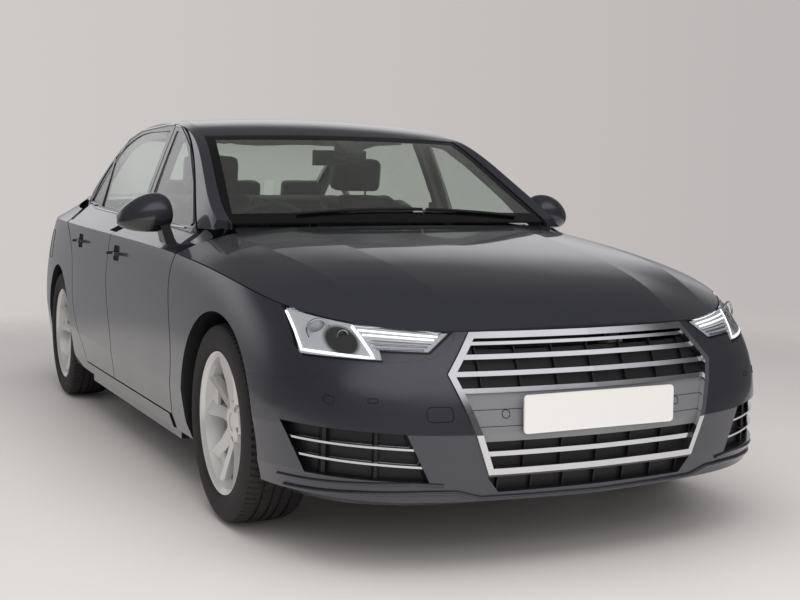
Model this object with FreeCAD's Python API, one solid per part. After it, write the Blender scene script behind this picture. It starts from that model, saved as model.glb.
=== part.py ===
"""A four-door sedan car, in millimetres: +X points forward, +Y to the car's left, +Z up.

The origin is on the ground, in the middle of the car's length and width. The painted skin is one set of
character lines, such as the shoulder line and the roof rail, and every outer panel is cut from it.
"""

import FreeCAD
import Part
import math
import os

Vector = FreeCAD.Vector

# Overall sizes
WHEELBASE = 2820.0
FRONT_OVERHANG = 880.0
REAR_OVERHANG = 1026.0
BODY_WIDTH = 1842.0
BODY_HEIGHT = 1427.0

LENGTH = FRONT_OVERHANG + WHEELBASE + REAR_OVERHANG
HALF_WIDTH = BODY_WIDTH / 2
NOSE_X = LENGTH / 2
FRONT_AXLE_X = NOSE_X - FRONT_OVERHANG
REAR_AXLE_X = FRONT_AXLE_X - WHEELBASE


def station(share):
    """The x of a place along the car: 0 is the nose, 1 the front axle, 2 the rear axle and 3 the tail."""
    if share <= 1:
        return NOSE_X - share * FRONT_OVERHANG
    if share <= 2:
        return FRONT_AXLE_X - (share - 1) * WHEELBASE
    return REAR_AXLE_X - (share - 2) * REAR_OVERHANG


def place(station_share, width_share, height_share):
    return Vector(station(station_share), width_share * HALF_WIDTH, height_share * BODY_HEIGHT)


# Character lines round the lower body, from the middle of the nose to the middle of the tail.
# Each point gives its station, its share of the half width and its share of the height.
HEM_HEIGHT_SHARE = 0.130
TUB_HEIGHT_SHARE = 0.44
INNER_TOP_SHARE = 0.78
LOWER_EDGE_SHARES = [
    (0.035, 0.0, 0.143), (0.04, 0.2, 0.143), (0.072, 0.49, 0.143), (0.169, 0.720, 0.146), (0.329, 0.865, 0.152),
    (0.60, 0.955, 0.150), (1.0, 0.955, 0.150), (1.19, 0.95, 0.145), (1.45, 0.95, 0.145), (1.75, 0.95, 0.145),
    (2.0, 0.945, 0.155), (2.45, 0.93, 0.170), (2.75, 0.88, 0.175), (2.92, 0.76, 0.175), (2.97, 0.5, 0.175),
    (2.975, 0.2, 0.175), (2.975, 0.0, 0.175),
]
SILL_CREASE_SHARES = [
    (0.02, 0.0, 0.195), (0.025, 0.2, 0.195), (0.057, 0.49, 0.193), (0.151, 0.727, 0.195), (0.311, 0.882, 0.200),
    (0.60, 0.975, 0.195), (1.0, 0.98, 0.190), (1.19, 0.972, 0.190), (1.45, 0.972, 0.188), (1.75, 0.972, 0.188),
    (2.0, 0.965, 0.195), (2.45, 0.945, 0.215), (2.77, 0.89, 0.225), (2.95, 0.77, 0.230), (2.993, 0.5, 0.230),
    (3.0, 0.2, 0.230), (3.0, 0.0, 0.230),
]
DOOR_CREASE_SHARES = [
    (0.0, 0.0, 0.280), (0.005, 0.2, 0.280), (0.040, 0.485, 0.280), (0.144, 0.724, 0.285), (0.304, 0.889, 0.290),
    (0.60, 0.99, 0.285), (1.0, 1.0, 0.280), (1.19, 0.992, 0.270), (1.45, 0.992, 0.265), (1.75, 0.992, 0.275),
    (2.0, 0.985, 0.290), (2.45, 0.96, 0.310), (2.78, 0.905, 0.320), (2.965, 0.78, 0.325), (3.0, 0.5, 0.325),
    (3.0, 0.2, 0.325), (3.0, 0.0, 0.325),
]
LOWER_FLANK_SHARES = [
    (0.01, 0.0, 0.350), (0.015, 0.2, 0.350), (0.052, 0.485, 0.350), (0.158, 0.740, 0.360), (0.328, 0.905, 0.370),
    (0.62, 0.99, 0.370), (1.0, 1.0, 0.380), (1.19, 0.996, 0.390), (1.45, 0.997, 0.390), (1.75, 0.997, 0.390),
    (2.0, 0.99, 0.400), (2.45, 0.965, 0.420), (2.78, 0.915, 0.430), (2.965, 0.785, 0.430), (3.0, 0.5, 0.430),
    (3.0, 0.2, 0.430), (3.0, 0.0, 0.430),
]
UPPER_FLANK_SHARES = [
    (0.07, 0.0, 0.430), (0.075, 0.2, 0.430), (0.105, 0.48, 0.425), (0.21, 0.73, 0.435), (0.38, 0.895, 0.450),
    (0.67, 0.965, 0.475), (1.0, 0.99, 0.500), (1.19, 0.998, 0.520), (1.45, 1.0, 0.530), (1.75, 0.999, 0.540),
    (2.0, 0.985, 0.555), (2.42, 0.95, 0.565), (2.72, 0.885, 0.570), (2.90, 0.755, 0.565), (2.955, 0.5, 0.560),
    (2.97, 0.2, 0.560), (2.97, 0.0, 0.560),
]
SHOULDER_SHARES = [
    (0.115, 0.0, 0.484), (0.12, 0.2, 0.482), (0.15, 0.44, 0.473), (0.28, 0.68, 0.485), (0.47, 0.84, 0.508),
    (0.70, 0.915, 0.536), (1.0, 0.955, 0.573), (1.19, 0.967, 0.605), (1.45, 0.975, 0.622), (1.75, 0.972, 0.637),
    (2.0, 0.945, 0.647), (2.4, 0.905, 0.654), (2.68, 0.838, 0.655), (2.86, 0.72, 0.650), (2.93, 0.5, 0.645),
    (2.95, 0.2, 0.643), (2.95, 0.0, 0.643),
]
BELT_SHARES = [
    (0.30, 0.0, 0.520), (0.31, 0.14, 0.520), (0.34, 0.32, 0.515), (0.42, 0.50, 0.525), (0.56, 0.64, 0.545),
    (0.76, 0.73, 0.575), (1.0, 0.78, 0.610), (1.19, 0.82, 0.648), (1.45, 0.84, 0.664), (1.75, 0.832, 0.687),
    (2.0, 0.79, 0.703), (2.4, 0.70, 0.716), (2.70, 0.66, 0.726), (2.84, 0.60, 0.733), (2.90, 0.44, 0.736),
    (2.915, 0.2, 0.738), (2.92, 0.0, 0.739),
]
BELT_LEDGE = 150.0
HEM_INSET = 60.0
INNER_RAISE = 30.0
GREENHOUSE_BASE_SHARE = 0.561

# Greenhouse lines, from the front of the car to the rear, on the left
SIDE_FOOT_SHARES = [
    (1.044, 0.749, 0.561), (1.125, 0.869, 0.561), (1.256, 0.882, 0.561), (1.420, 0.888, 0.561),
    (1.607, 0.888, 0.561), (1.774, 0.882, 0.561), (1.934, 0.847, 0.561), (2.159, 0.798, 0.561),
    (2.393, 0.760, 0.561), (2.500, 0.738, 0.561), (2.636, 0.695, 0.561),
]
SIDE_MIDDLE_SHARES = [
    (1.042, 0.738, 0.561), (1.141, 0.847, 0.610), (1.278, 0.827, 0.666), (1.420, 0.793, 0.743),
    (1.607, 0.784, 0.771), (1.774, 0.777, 0.764), (1.934, 0.760, 0.729), (2.159, 0.749, 0.673),
    (2.393, 0.738, 0.631), (2.500, 0.727, 0.603), (2.641, 0.686, 0.561),
]
RAIL_SHARES = [
    (1.040, 0.727, 0.561), (1.168, 0.822, 0.652), (1.292, 0.748, 0.789), (1.409, 0.675, 0.934),
    (1.590, 0.645, 0.975), (1.774, 0.641, 0.975), (1.909, 0.658, 0.924), (2.032, 0.695, 0.827),
    (2.295, 0.734, 0.729), (2.451, 0.721, 0.659), (2.646, 0.675, 0.561),
]
SCREEN_EDGE_SHARES = [
    (1.037, 0.673, 0.561), (1.171, 0.767, 0.652), (1.299, 0.695, 0.793), (1.423, 0.621, 0.946),
    (1.590, 0.595, 0.984), (1.774, 0.593, 0.985), (1.902, 0.604, 0.929), (2.003, 0.635, 0.834),
    (2.256, 0.658, 0.736), (2.432, 0.651, 0.666), (2.651, 0.630, 0.561),
]
CROWN_SHARES = [
    (1.022, 0.239, 0.561), (1.132, 0.261, 0.650), (1.260, 0.244, 0.803), (1.386, 0.228, 0.962),
    (1.583, 0.217, 1.006), (1.774, 0.217, 1.002), (1.912, 0.217, 0.936), (2.042, 0.217, 0.841),
    (2.315, 0.217, 0.744), (2.481, 0.217, 0.666), (2.661, 0.217, 0.561),
]

# Bonnet lines, from the front of the car to the rear, on the left
BONNET_EDGE_SHARES = [
    (0.037, 0.901, 0.442), (0.356, 0.923, 0.478), (0.583, 0.936, 0.506), (0.810, 0.953, 0.547),
    (1.029, 0.970, 0.573), (1.118, 0.977, 0.588), (1.196, 0.983, 0.597), (1.235, 0.983, 0.608),
]
BONNET_SIDE_SHARES = [
    (0.043, 0.760, 0.445), (0.299, 0.782, 0.469), (0.549, 0.809, 0.533), (0.810, 0.841, 0.574),
    (1.029, 0.860, 0.603), (1.118, 0.869, 0.621), (1.196, 0.874, 0.634), (1.235, 0.874, 0.642),
]
OUTER_CREASE_SHARES = [
    (0.049, 0.641, 0.437), (0.265, 0.651, 0.474), (0.526, 0.679, 0.563), (0.810, 0.700, 0.595),
    (1.029, 0.722, 0.618), (1.118, 0.738, 0.639), (1.196, 0.760, 0.655), (1.235, 0.762, 0.662),
]
BONNET_MIDDLE_SHARES = [
    (0.049, 0.510, 0.421), (0.242, 0.521, 0.495), (0.526, 0.548, 0.574), (0.810, 0.565, 0.607),
    (1.029, 0.586, 0.631), (1.118, 0.608, 0.652), (1.196, 0.630, 0.666), (1.235, 0.635, 0.671),
]
INNER_CREASE_SHARES = [
    (0.049, 0.396, 0.425), (0.231, 0.407, 0.523), (0.526, 0.426, 0.580), (0.810, 0.445, 0.611),
    (1.029, 0.467, 0.636), (1.118, 0.491, 0.657), (1.196, 0.510, 0.673), (1.235, 0.519, 0.680),
]
BONNET_CROWN_SHARES = [
    (0.032, 0.141, 0.450), (0.197, 0.141, 0.536), (0.492, 0.152, 0.584), (0.810, 0.157, 0.620),
    (1.029, 0.163, 0.642), (1.118, 0.168, 0.664), (1.196, 0.174, 0.681), (1.235, 0.174, 0.690),
]

# Boot deck lines, from the rear window's base to the tail, on the left
DECK_EDGE_SHARES = [
    (2.061, 0.760, 0.701), (2.256, 0.725, 0.716), (2.500, 0.695, 0.726), (2.724, 0.662, 0.733),
    (2.890, 0.619, 0.737), (2.978, 0.586, 0.739),
]
DECK_SIDE_SHARES = [
    (2.061, 0.608, 0.715), (2.256, 0.592, 0.729), (2.500, 0.565, 0.737), (2.724, 0.543, 0.744),
    (2.890, 0.521, 0.748), (2.978, 0.510, 0.748),
]
DECK_CROWN_SHARES = [
    (2.061, 0.217, 0.722), (2.256, 0.206, 0.737), (2.500, 0.195, 0.746), (2.724, 0.190, 0.753),
    (2.890, 0.185, 0.757), (2.978, 0.185, 0.758),
]

# Outlines in side view: runs of (station, share of the height). Two points make a straight edge.
FRONT_DOOR_LEAD = [(1.181, 0.598), (1.193, 0.537), (1.188, 0.466), (1.175, 0.352), (1.191, 0.224), (1.198, 0.185)]
FRONT_DOOR_TRAIL = [(1.540, 0.185), (1.533, 0.308), (1.559, 0.480), (1.546, 0.627), (1.546, 0.701)]
REAR_DOOR_TRAIL = [
    (1.753, 0.185), (1.793, 0.278), (1.834, 0.364), (1.846, 0.515), (1.904, 0.611), (2.063, 0.682), (2.281, 0.722),
]



CUBIC = 3


def knots_for(pole_count, degree):
    """Clamped, evenly spaced knots and their multiplicities."""
    spans = pole_count - degree
    knots = [float(i) for i in range(spans + 1)]
    counts = [degree + 1] + [1] * (spans - 1) + [degree + 1]
    return knots, counts


def spline_surface(rows, degree_across):
    """A surface on a net of poles. Each row is one long line, smooth along its length."""
    surface = Part.BSplineSurface()
    u_knots, u_counts = knots_for(len(rows), degree_across)
    v_knots, v_counts = knots_for(len(rows[0]), CUBIC)
    surface.buildFromPolesMultsKnots(rows, u_counts, v_counts, u_knots, v_knots, False, False, degree_across, CUBIC)
    return surface


def spline_edge(poles, degree=CUBIC):
    curve = Part.BSplineCurve()
    knots, counts = knots_for(len(poles), degree)
    curve.buildFromPolesMultsKnots(poles, counts, knots, False, degree)
    return curve.toShape()


def mirrored(points):
    return [Vector(p.x, -p.y, p.z) for p in points]


def inset_line(points, inset):
    """A line of poles moved inwards in plan, towards the car's middle, by a constant distance."""
    moved = []
    last = len(points) - 1
    for i, p in enumerate(points):
        if i == 0:
            normal = Vector(-1, 0, 0)
        elif i == last:
            normal = Vector(1, 0, 0)
        else:
            along = points[i + 1] - points[i - 1]
            normal = Vector(along.y, -along.x, 0)
            if normal.dot(Vector(-p.x, -p.y, 0)) < 0:
                normal = normal * -1
            normal.normalize()
        moved.append(p + normal * inset)
    return moved


def level(points, height):
    return [Vector(p.x, p.y, height) for p in points]


def raised(points, rise):
    return [Vector(p.x, p.y, p.z + rise) for p in points]


def solid_from(faces):
    shell = Part.makeShell(faces)
    shell.sewShape()
    solid = Part.makeSolid(shell)
    if solid.Volume < 0:
        solid.reverse()
    return solid


def line(shares):
    return [place(*share) for share in shares]


def lower_form(inset=0.0):
    """The solid inside the lower body's skin. Moved in by an inset, it is solid to the middle and stands out."""
    over = INNER_RAISE if inset > 0 else 0.0
    rows = [inset_line(line(shares), inset) for shares in (
        LOWER_EDGE_SHARES, SILL_CREASE_SHARES, DOOR_CREASE_SHARES, LOWER_FLANK_SHARES,
        UPPER_FLANK_SHARES, SHOULDER_SHARES, BELT_SHARES)]
    lower, sill, crease, flank_low, flank_high, shoulder, belt = rows
    hem = level(inset_line(lower, HEM_INSET), HEM_HEIGHT_SHARE * BODY_HEIGHT - over)
    belt = raised(belt, over)
    strips = [([hem, lower], 1), ([lower, sill], 1), ([sill, crease], 1),
              ([crease, flank_low, flank_high, shoulder], CUBIC), ([shoulder, belt], 1)]
    if inset > 0:
        rim = level(belt, INNER_TOP_SHARE * BODY_HEIGHT)
        strips.append(([belt, rim], 1))
    else:
        ledge = inset_line(belt, BELT_LEDGE)
        rim = level(ledge, TUB_HEIGHT_SHARE * BODY_HEIGHT)
        strips += [([belt, ledge], 1), ([ledge, rim], 1)]
    faces = []
    for strip, degree in strips:
        faces.append(spline_surface(strip, degree).toShape())
        faces.append(spline_surface([mirrored(row) for row in strip], degree).toShape())
    for edge in (hem, rim):
        faces.append(Part.Face(Part.Wire([spline_edge(edge), spline_edge(mirrored(edge))])))
    return solid_from(faces)


def vertex_normals(net):
    """Outward directions at the points of a net whose rows run nose to tail and climb from row to row."""
    normals = []
    for i, row in enumerate(net):
        below = net[max(i - 1, 0)]
        above = net[min(i + 1, len(net) - 1)]
        line_normals = []
        for j in range(len(row)):
            along = row[min(j + 1, len(row) - 1)] - row[max(j - 1, 0)]
            across = above[j] - below[j]
            normal = along.cross(across)
            if normal.Length:
                normal.normalize()
            line_normals.append(normal)
        normals.append(line_normals)
    return normals


def moved_net(net, inset, fixed_rows):
    normals = vertex_normals(net)
    result = []
    for i, row in enumerate(net):
        if i in fixed_rows:
            result.append(list(row))
        else:
            result.append([p - normals[i][j] * inset for j, p in enumerate(row)])
    return result


def ends_to(net, height):
    """The first and last points of every row brought down to one level."""
    for row in net:
        row[0] = Vector(row[0].x, row[0].y, height)
        row[-1] = Vector(row[-1].x, row[-1].y, height)
    return net


def closed_over(strips, floor_rim, floor_z):
    """A solid under a roof-like set of strips, mirrored to the right, with a flat floor."""
    faces = []
    for strip, degree, central in strips:
        nets = [strip + [mirrored(row) for row in strip[::-1]]] if central else [strip, [mirrored(r) for r in strip]]
        for net in nets:
            faces.append(spline_surface(net, degree).toShape())
    shell = Part.makeShell(faces)
    shell.sewShape()
    open_edges = [e for e in shell.Edges if len(shell.ancestorsOfType(e, Part.Face)) < 2]
    wires = Part.sortEdges(open_edges)
    floor = Part.Face(Part.Wire(wires[0]))
    return solid_from(faces + [floor])


def greenhouse_form(inset=0.0):
    """The solid under the glass, pillars and roof, moved in by inset."""
    drop = INNER_RAISE if inset else 0.0
    base = GREENHOUSE_BASE_SHARE * BODY_HEIGHT - drop
    net = [line(shares) for shares in (
        SIDE_FOOT_SHARES, SIDE_MIDDLE_SHARES, RAIL_SHARES, SCREEN_EDGE_SHARES, CROWN_SHARES)]
    net.append(mirrored(net[-1]))
    if inset:
        net = moved_net(net, inset, ())
    foot, middle, rail, edge, crown, _ = net
    foot = level(foot, base)
    net = ends_to([foot, middle, rail, edge, crown], base)
    foot, middle, rail, edge, crown = net
    strips = [([foot, middle, rail], 2, False), ([rail, edge], 1, False), ([edge, crown], CUBIC, True)]
    return closed_over(strips, foot, base)



def draped_form(rows, degrees, depth, sink=0.0):
    """A solid of constant depth under a set of lines from the edge inwards, mirrored, with its top sunk."""
    lowered = [raised(row, -sink) for row in rows]
    faces = []
    start = 0
    for degree in degrees[:-1]:
        strip = lowered[start:start + degree + 1]
        faces.append(spline_surface(strip, degree).toShape())
        faces.append(spline_surface([mirrored(row) for row in strip], degree).toShape())
        start += degree
    strip = lowered[start:]
    faces.append(spline_surface(strip + [mirrored(row) for row in strip[::-1]], degrees[-1]).toShape())
    top = Part.makeShell(faces)
    top.sewShape()
    solid = Part.Solid(top.extrude(Vector(0, 0, -depth)))
    if solid.Volume < 0:
        solid.reverse()
    return solid



# Walls, gaps and seats
SEAT_GAP = 0.3
SHUT_GAP = 8.0
FRAME_GAP = 12.0
LID_GAP = 5.0
DOOR_SKIN = 6.0
DOOR_FRAME = 22.0
DOOR_DEPTH = 100.0
PANEL_DEPTH = 30.0
RABBET_DEPTH = 30.0
PILLAR_DEPTH = 58.0
ROOF_DEPTH = 24.0
BONNET_DEPTH = 24.0
GLASS_SINK = 4.0
GLASS_THICKNESS = 6.0
REACH = 4000.0
HALF = 0.5


def run_edges(run):
    """Edges through a run of points: two points give a straight edge and more give a smooth one."""
    if len(run) == 2:
        return [Part.makeLine(run[0], run[1])]
    curve = Part.BSplineCurve()
    curve.interpolate(run)
    return [curve.toShape()]


def outline(runs):
    """A flat face inside runs of points laid end to end. The gap at the end is closed by a straight edge."""
    edges = []
    for run in runs:
        edges += run_edges(run)
    first = runs[0][0]
    last = runs[-1][-1]
    if (first - last).Length > SEAT_GAP:
        edges.append(Part.makeLine(last, first))
    return Part.Face(Part.Wire(edges))


SAMPLE_SHARE = 0.06
FEWEST_SAMPLES = 6


def grown(face, distance):
    """The face with its outline moved outwards by a distance, as clean straight and smooth edges."""
    if not distance:
        return face
    moved = face.makeOffset2D(distance)
    runs = []
    for edge in moved.OuterWire.OrderedEdges:
        samples = 2
        if edge.Curve.TypeId != "Part::GeomLine":
            samples = max(FEWEST_SAMPLES, int(edge.Length / (SAMPLE_SHARE * HALF_WIDTH)))
        points = edge.discretize(Number=samples)
        if edge.Orientation == "Reversed":
            points = points[::-1]
        runs.append(points)
    for i, points in enumerate(runs):
        points[0] = runs[i - 1][-1]
    edges = []
    for points in runs:
        edges += run_edges(points)
    return Part.Face(Part.Wire(edges))


def side_point(station_share, height_share):
    return Vector(station(station_share), 0, height_share * BODY_HEIGHT)


def front_point(width_share, height_share):
    return Vector(0, width_share * HALF_WIDTH, height_share * BODY_HEIGHT)


def plan_point(station_share, width_share):
    return Vector(station(station_share), width_share * HALF_WIDTH, 0)


def side_outline(*runs):
    return outline([[side_point(*p) for p in run] for run in runs])


def front_outline(*runs):
    return outline([[front_point(*p) for p in run] for run in runs])


def through(face, direction, start, end):
    """The face swept along an axis from one coordinate to another."""
    moved = face.copy()
    moved.translate(direction * start)
    return moved.extrude(direction * (end - start))


ALONG = Vector(1, 0, 0)
ACROSS = Vector(0, 1, 0)
UP = Vector(0, 0, 1)


def left_prism(face):
    return through(face, ACROSS, 0, HALF_WIDTH * 2)


def block(x0, x1, y0, y1, z0, z1):
    low = Vector(min(x0, x1), min(y0, y1), min(z0, z1))
    return Part.makeBox(abs(x1 - x0), abs(y1 - y0), abs(z1 - z0), low)


def to_right(shape):
    return shape.mirror(Vector(0, 0, 0), ACROSS)


def both(shape):
    return [shape, to_right(shape)]


def joined(shapes):
    solids = []
    for shape in shapes:
        solids += shape.Solids
    if len(solids) == 1:
        return solids[0]
    return solids[0].fuse(solids[1:]).removeSplitter()


def group(shapes):
    solids = []
    for shape in shapes:
        solids += shape.Solids
    return Part.makeCompound(solids)


def largest(shape):
    return max(shape.Solids, key=lambda solid: solid.Volume)


SMALLEST_PIECE = 2.0e4


def without_scraps(shape):
    return Part.makeCompound([solid for solid in shape.Solids if solid.Volume > SMALLEST_PIECE])


def h(share):
    return share * BODY_HEIGHT


def w(share):
    return share * HALF_WIDTH


def rod(start, end, radius):
    along = end - start
    return Part.makeCylinder(radius, along.Length, start, along)


def top_at(shape, x, y):
    """The height of a shape's top over a place."""
    ray = Part.makeLine(Vector(x, y, 0), Vector(x, y, BODY_HEIGHT * 2))
    return max(v.Z for v in ray.common(shape).Vertexes)


def ring(points, axis_point, axis):
    """A closed profile turned once round an axis."""
    face = Part.Face(Part.makePolygon(points + [points[0]]))
    return face.revolve(axis_point, axis, 360)


def bonnet_form(depth, sink=0.0):
    rows = [line(shares) for shares in (
        BONNET_EDGE_SHARES, BONNET_SIDE_SHARES, OUTER_CREASE_SHARES,
        BONNET_MIDDLE_SHARES, INNER_CREASE_SHARES, BONNET_CROWN_SHARES)]
    return draped_form(rows, (2, 2, CUBIC), depth, sink)


def deck_form(depth, sink=0.0):
    rows = [line(shares) for shares in (DECK_EDGE_SHARES, DECK_SIDE_SHARES, DECK_CROWN_SHARES)]
    return draped_form(rows, (5,), depth, sink)


def flat(points):
    return level(points, 0)


# Forms that every panel is cut from
OUTER = lower_form()
HOUSE = greenhouse_form()
HOUSE_RABBET = greenhouse_form(RABBET_DEPTH)
HOUSE_FRAME = greenhouse_form(DOOR_FRAME)
HOUSE_INNER = greenhouse_form(PILLAR_DEPTH)
HOUSE_ROOF = greenhouse_form(ROOF_DEPTH)
LOWER_SKIN = lower_form(DOOR_SKIN)
LOWER_DOOR = lower_form(DOOR_DEPTH)
LOWER_PANEL = lower_form(PANEL_DEPTH)

# Outlines of the doors and windows in side view
FRONT_FRAME_TOP = [
    (1.546, 0.969), (1.505, 0.957), (1.409, 0.890), (1.327, 0.785), (1.256, 0.677), (1.214, 0.626), (1.181, 0.598)]
REAR_FRAME_TOP = [
    (2.281, 0.722), (2.217, 0.774), (1.998, 0.868), (1.909, 0.932), (1.774, 0.970), (1.597, 0.973), (1.546, 0.969)]
FRONT_DOOR_FACE = side_outline(
    FRONT_DOOR_LEAD, [(1.198, 0.185), (1.540, 0.185)], FRONT_DOOR_TRAIL, [(1.546, 0.701), (1.546, 0.969)],
    FRONT_FRAME_TOP)
REAR_DOOR_FACE = side_outline(
    FRONT_DOOR_TRAIL[::-1], [(1.540, 0.185), (1.753, 0.185)], REAR_DOOR_TRAIL, REAR_FRAME_TOP,
    [(1.546, 0.969), (1.546, 0.701)])
FRONT_WINDOW_FACE = side_outline(
    [(1.526, 0.680), (1.526, 0.940)],
    [(1.526, 0.940), (1.469, 0.919), (1.409, 0.864), (1.327, 0.758), (1.265, 0.656)],
    [(1.265, 0.656), (1.386, 0.669), (1.526, 0.680)])
REAR_WINDOW_FACE = side_outline(
    [(1.567, 0.683), (1.567, 0.945)],
    [(1.567, 0.945), (1.668, 0.950), (1.774, 0.947), (1.880, 0.912), (1.940, 0.880)],
    [(1.940, 0.880), (1.925, 0.703)],
    [(1.925, 0.703), (1.774, 0.694), (1.567, 0.683)])
QUARTER_WINDOW_FACE = side_outline(
    [(1.940, 0.704), (1.953, 0.868)],
    [(1.953, 0.868), (2.060, 0.802), (2.217, 0.721)],
    [(2.217, 0.721), (1.940, 0.704)])
FRONT_HINGE_X = station(1.217)
REAR_HINGE_X = station(1.585)
HINGE_Y = w(0.972)
HINGE_HEIGHTS = (h(0.30), h(0.50))
HINGE_PIN = 5.0
HINGE_BARREL = 9.0
HINGE_LENGTH = 40.0
PIN_CLEARANCE = 0.3
BOX_INSET = 15.0
BOX_LEAD = 14.0
PILLAR_OUTER_Y = w(0.83)
PILLAR_INNER_Y = w(0.775)
FRAME_FOOT_Z = h(0.62)
WHEEL_RADIUS = h(0.23)
ARCH_GAP = w(0.0405)
ARCH_RADIUS = WHEEL_RADIUS + ARCH_GAP
FRONT_LINER_Y = w(0.54)
REAR_LINER_Y = w(0.65)


def shell(outer, inner):
    return outer.cut(inner)


LOWER_SKIN_SHELL = shell(OUTER, LOWER_SKIN)
LOWER_PANEL_SHELL = shell(OUTER, LOWER_PANEL)
DOOR_BOX_SHELL = shell(OUTER, LOWER_DOOR)
FRAME_SHELL = shell(HOUSE, HOUSE_FRAME)
SIDE_GLASS_SHELL = shell(greenhouse_form(GLASS_SINK), greenhouse_form(GLASS_SINK + GLASS_THICKNESS))
ABOVE_FOOT = block(-REACH, REACH, -REACH, REACH, FRAME_FOOT_Z, REACH)
LEFT_HALF = block(-REACH, REACH, 0, REACH, -REACH, REACH)


def between_lines(shares, inset):
    """A tall block between a greenhouse line and its mirror image, in plan."""
    edge = inset_line(flat(line(shares)), inset)
    far = mirrored(edge)
    ends = [Part.makeLine(edge[0], far[0]), Part.makeLine(edge[-1], far[-1])]
    face = Part.Face(Part.Wire(Part.__sortEdges__([spline_edge(edge), ends[0], spline_edge(far), ends[1]])))
    return through(face, UP, FRAME_FOOT_Z / 2, BODY_HEIGHT * 2)


BETWEEN_RAILS = between_lines(RAIL_SHARES, 0)
BETWEEN_SCREEN_EDGES = between_lines(SCREEN_EDGE_SHARES, 0)
LINER_WALL = w(0.008)
LIP_DEPTH = w(0.013)
LIP_INNER = lower_form(LIP_DEPTH)
LINER_REACH = lower_form(LIP_DEPTH + SEAT_GAP)
ARCHES = []
for axle_x in (FRONT_AXLE_X, REAR_AXLE_X):
    centre = Vector(axle_x, -REACH, WHEEL_RADIUS)
    opening = Part.makeCylinder(ARCH_RADIUS, REACH * 2, centre, ACROSS)
    recess = Part.makeCylinder(ARCH_RADIUS + LINER_WALL + SEAT_GAP, REACH * 2, centre, ACROSS)
    ARCHES.append(opening.fuse(recess.common(LIP_INNER)))


def door(face, frame_face, hinge_x, windows):
    """One left door: a skin flange all round, a deep box inside it, and the window frame above."""
    edge = left_prism(face)
    skin = LOWER_SKIN_SHELL.common(edge)
    inner_face = grown(face, -BOX_INSET)
    box_edge = left_prism(inner_face).common(
        block(-REACH, hinge_x - BOX_LEAD, 0, REACH, 0, REACH))
    box = DOOR_BOX_SHELL.common(box_edge)
    frame = FRAME_SHELL.common(left_prism(frame_face)).common(ABOVE_FOOT).cut(BETWEEN_RAILS)
    for window in windows:
        frame = frame.cut(left_prism(window))
    barrels = []
    for z in HINGE_HEIGHTS:
        barrels.append(Part.makeCylinder(HINGE_BARREL, HINGE_LENGTH, Vector(hinge_x, HINGE_Y, z), UP))
        barrels.append(block(
            hinge_x - BOX_LEAD * 2, hinge_x, HINGE_Y - HINGE_BARREL, HINGE_Y, z, z + HINGE_LENGTH))
    whole = largest(joined([skin, box, frame] + barrels))
    for z in HINGE_HEIGHTS:
        pin = Part.makeCylinder(HINGE_PIN + PIN_CLEARANCE, HINGE_LENGTH * 2, Vector(hinge_x, HINGE_Y, z - HINGE_PIN), UP)
        whole = whole.cut(pin)
    return whole


def stadium(centre, half_length, half_height):
    """A smooth, nearly rectangular outline in side view."""
    points = []
    for a, b in STADIUM_SHARES:
        points.append(centre + ALONG * half_length * a + UP * half_height * b)
    curve = Part.BSplineCurve()
    curve.interpolate(points, PeriodicFlag=True)
    return Part.Face(Part.Wire(curve.toShape()))


STADIUM_SHARES = [(1, 0), (0.90, 0.88), (0, 1), (-0.90, 0.88), (-1, 0), (-0.90, -0.88), (0, -1), (0.90, -0.88)]
HANDLE_HALF_LENGTH = w(0.115)
HANDLE_HALF_HEIGHT = w(0.0145)
HANDLE_FOOT_LENGTH = w(0.035)
HANDLE_OUTER = 30.0
HANDLE_INNER = 17.0
HANDLE_CUP_HALF_LENGTH = w(0.060)
HANDLE_CUP_HALF_HEIGHT = w(0.034)
HANDLE_CUP_DEPTH = 14.0
HANDLE_FRONT_PLACE = side_point(1.494, 0.5735)
HANDLE_REAR_PLACE = side_point(1.777, 0.590)
HANDLE_SHELL = lower_form(-HANDLE_OUTER).cut(lower_form(-HANDLE_INNER))
HANDLE_FOOT_SHELL = lower_form(-HANDLE_OUTER).cut(LOWER_SKIN)
HANDLE_CUP_SHELL = OUTER.cut(lower_form(HANDLE_CUP_DEPTH))


def with_handle(panel, place):
    """The door with its pull handle: a bar on two feet, over a cup pressed into the skin."""
    grip = HANDLE_SHELL.common(left_prism(stadium(place, HANDLE_HALF_LENGTH, HANDLE_HALF_HEIGHT)))
    feet = []
    for direction in (-1, 1):
        foot_place = place + ALONG * direction * (HANDLE_HALF_LENGTH - HANDLE_FOOT_LENGTH)
        foot = stadium(foot_place, HANDLE_FOOT_LENGTH * HALF, HANDLE_HALF_HEIGHT * HALF)
        feet.append(HANDLE_FOOT_SHELL.common(left_prism(foot)))
    cup = HANDLE_CUP_SHELL.common(left_prism(stadium(place, HANDLE_CUP_HALF_LENGTH, HANDLE_CUP_HALF_HEIGHT)))
    return largest(joined([panel.cut(cup), largest(grip)] + [largest(foot) for foot in feet]))


def hinge_brackets(hinge_x):
    parts = []
    for z in HINGE_HEIGHTS:
        low = z - HINGE_BARREL - PIN_CLEARANCE
        parts.append(Part.makeCylinder(HINGE_PIN, HINGE_LENGTH, Vector(hinge_x, HINGE_Y, low), UP))
        parts.append(Part.makeCylinder(HINGE_BARREL, HINGE_BARREL, Vector(hinge_x, HINGE_Y, low), UP))
        parts.append(block(
            hinge_x - HINGE_PIN, hinge_x + HINGE_PIN, PILLAR_INNER_Y, HINGE_Y, low, low + HINGE_BARREL))
    return parts


def glazing(windows):
    panes = []
    for window in windows:
        pane = SIDE_GLASS_SHELL.common(left_prism(grown(window, -SEAT_GAP))).cut(BETWEEN_RAILS)
        panes.append(largest(pane))
    return group(panes)


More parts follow.
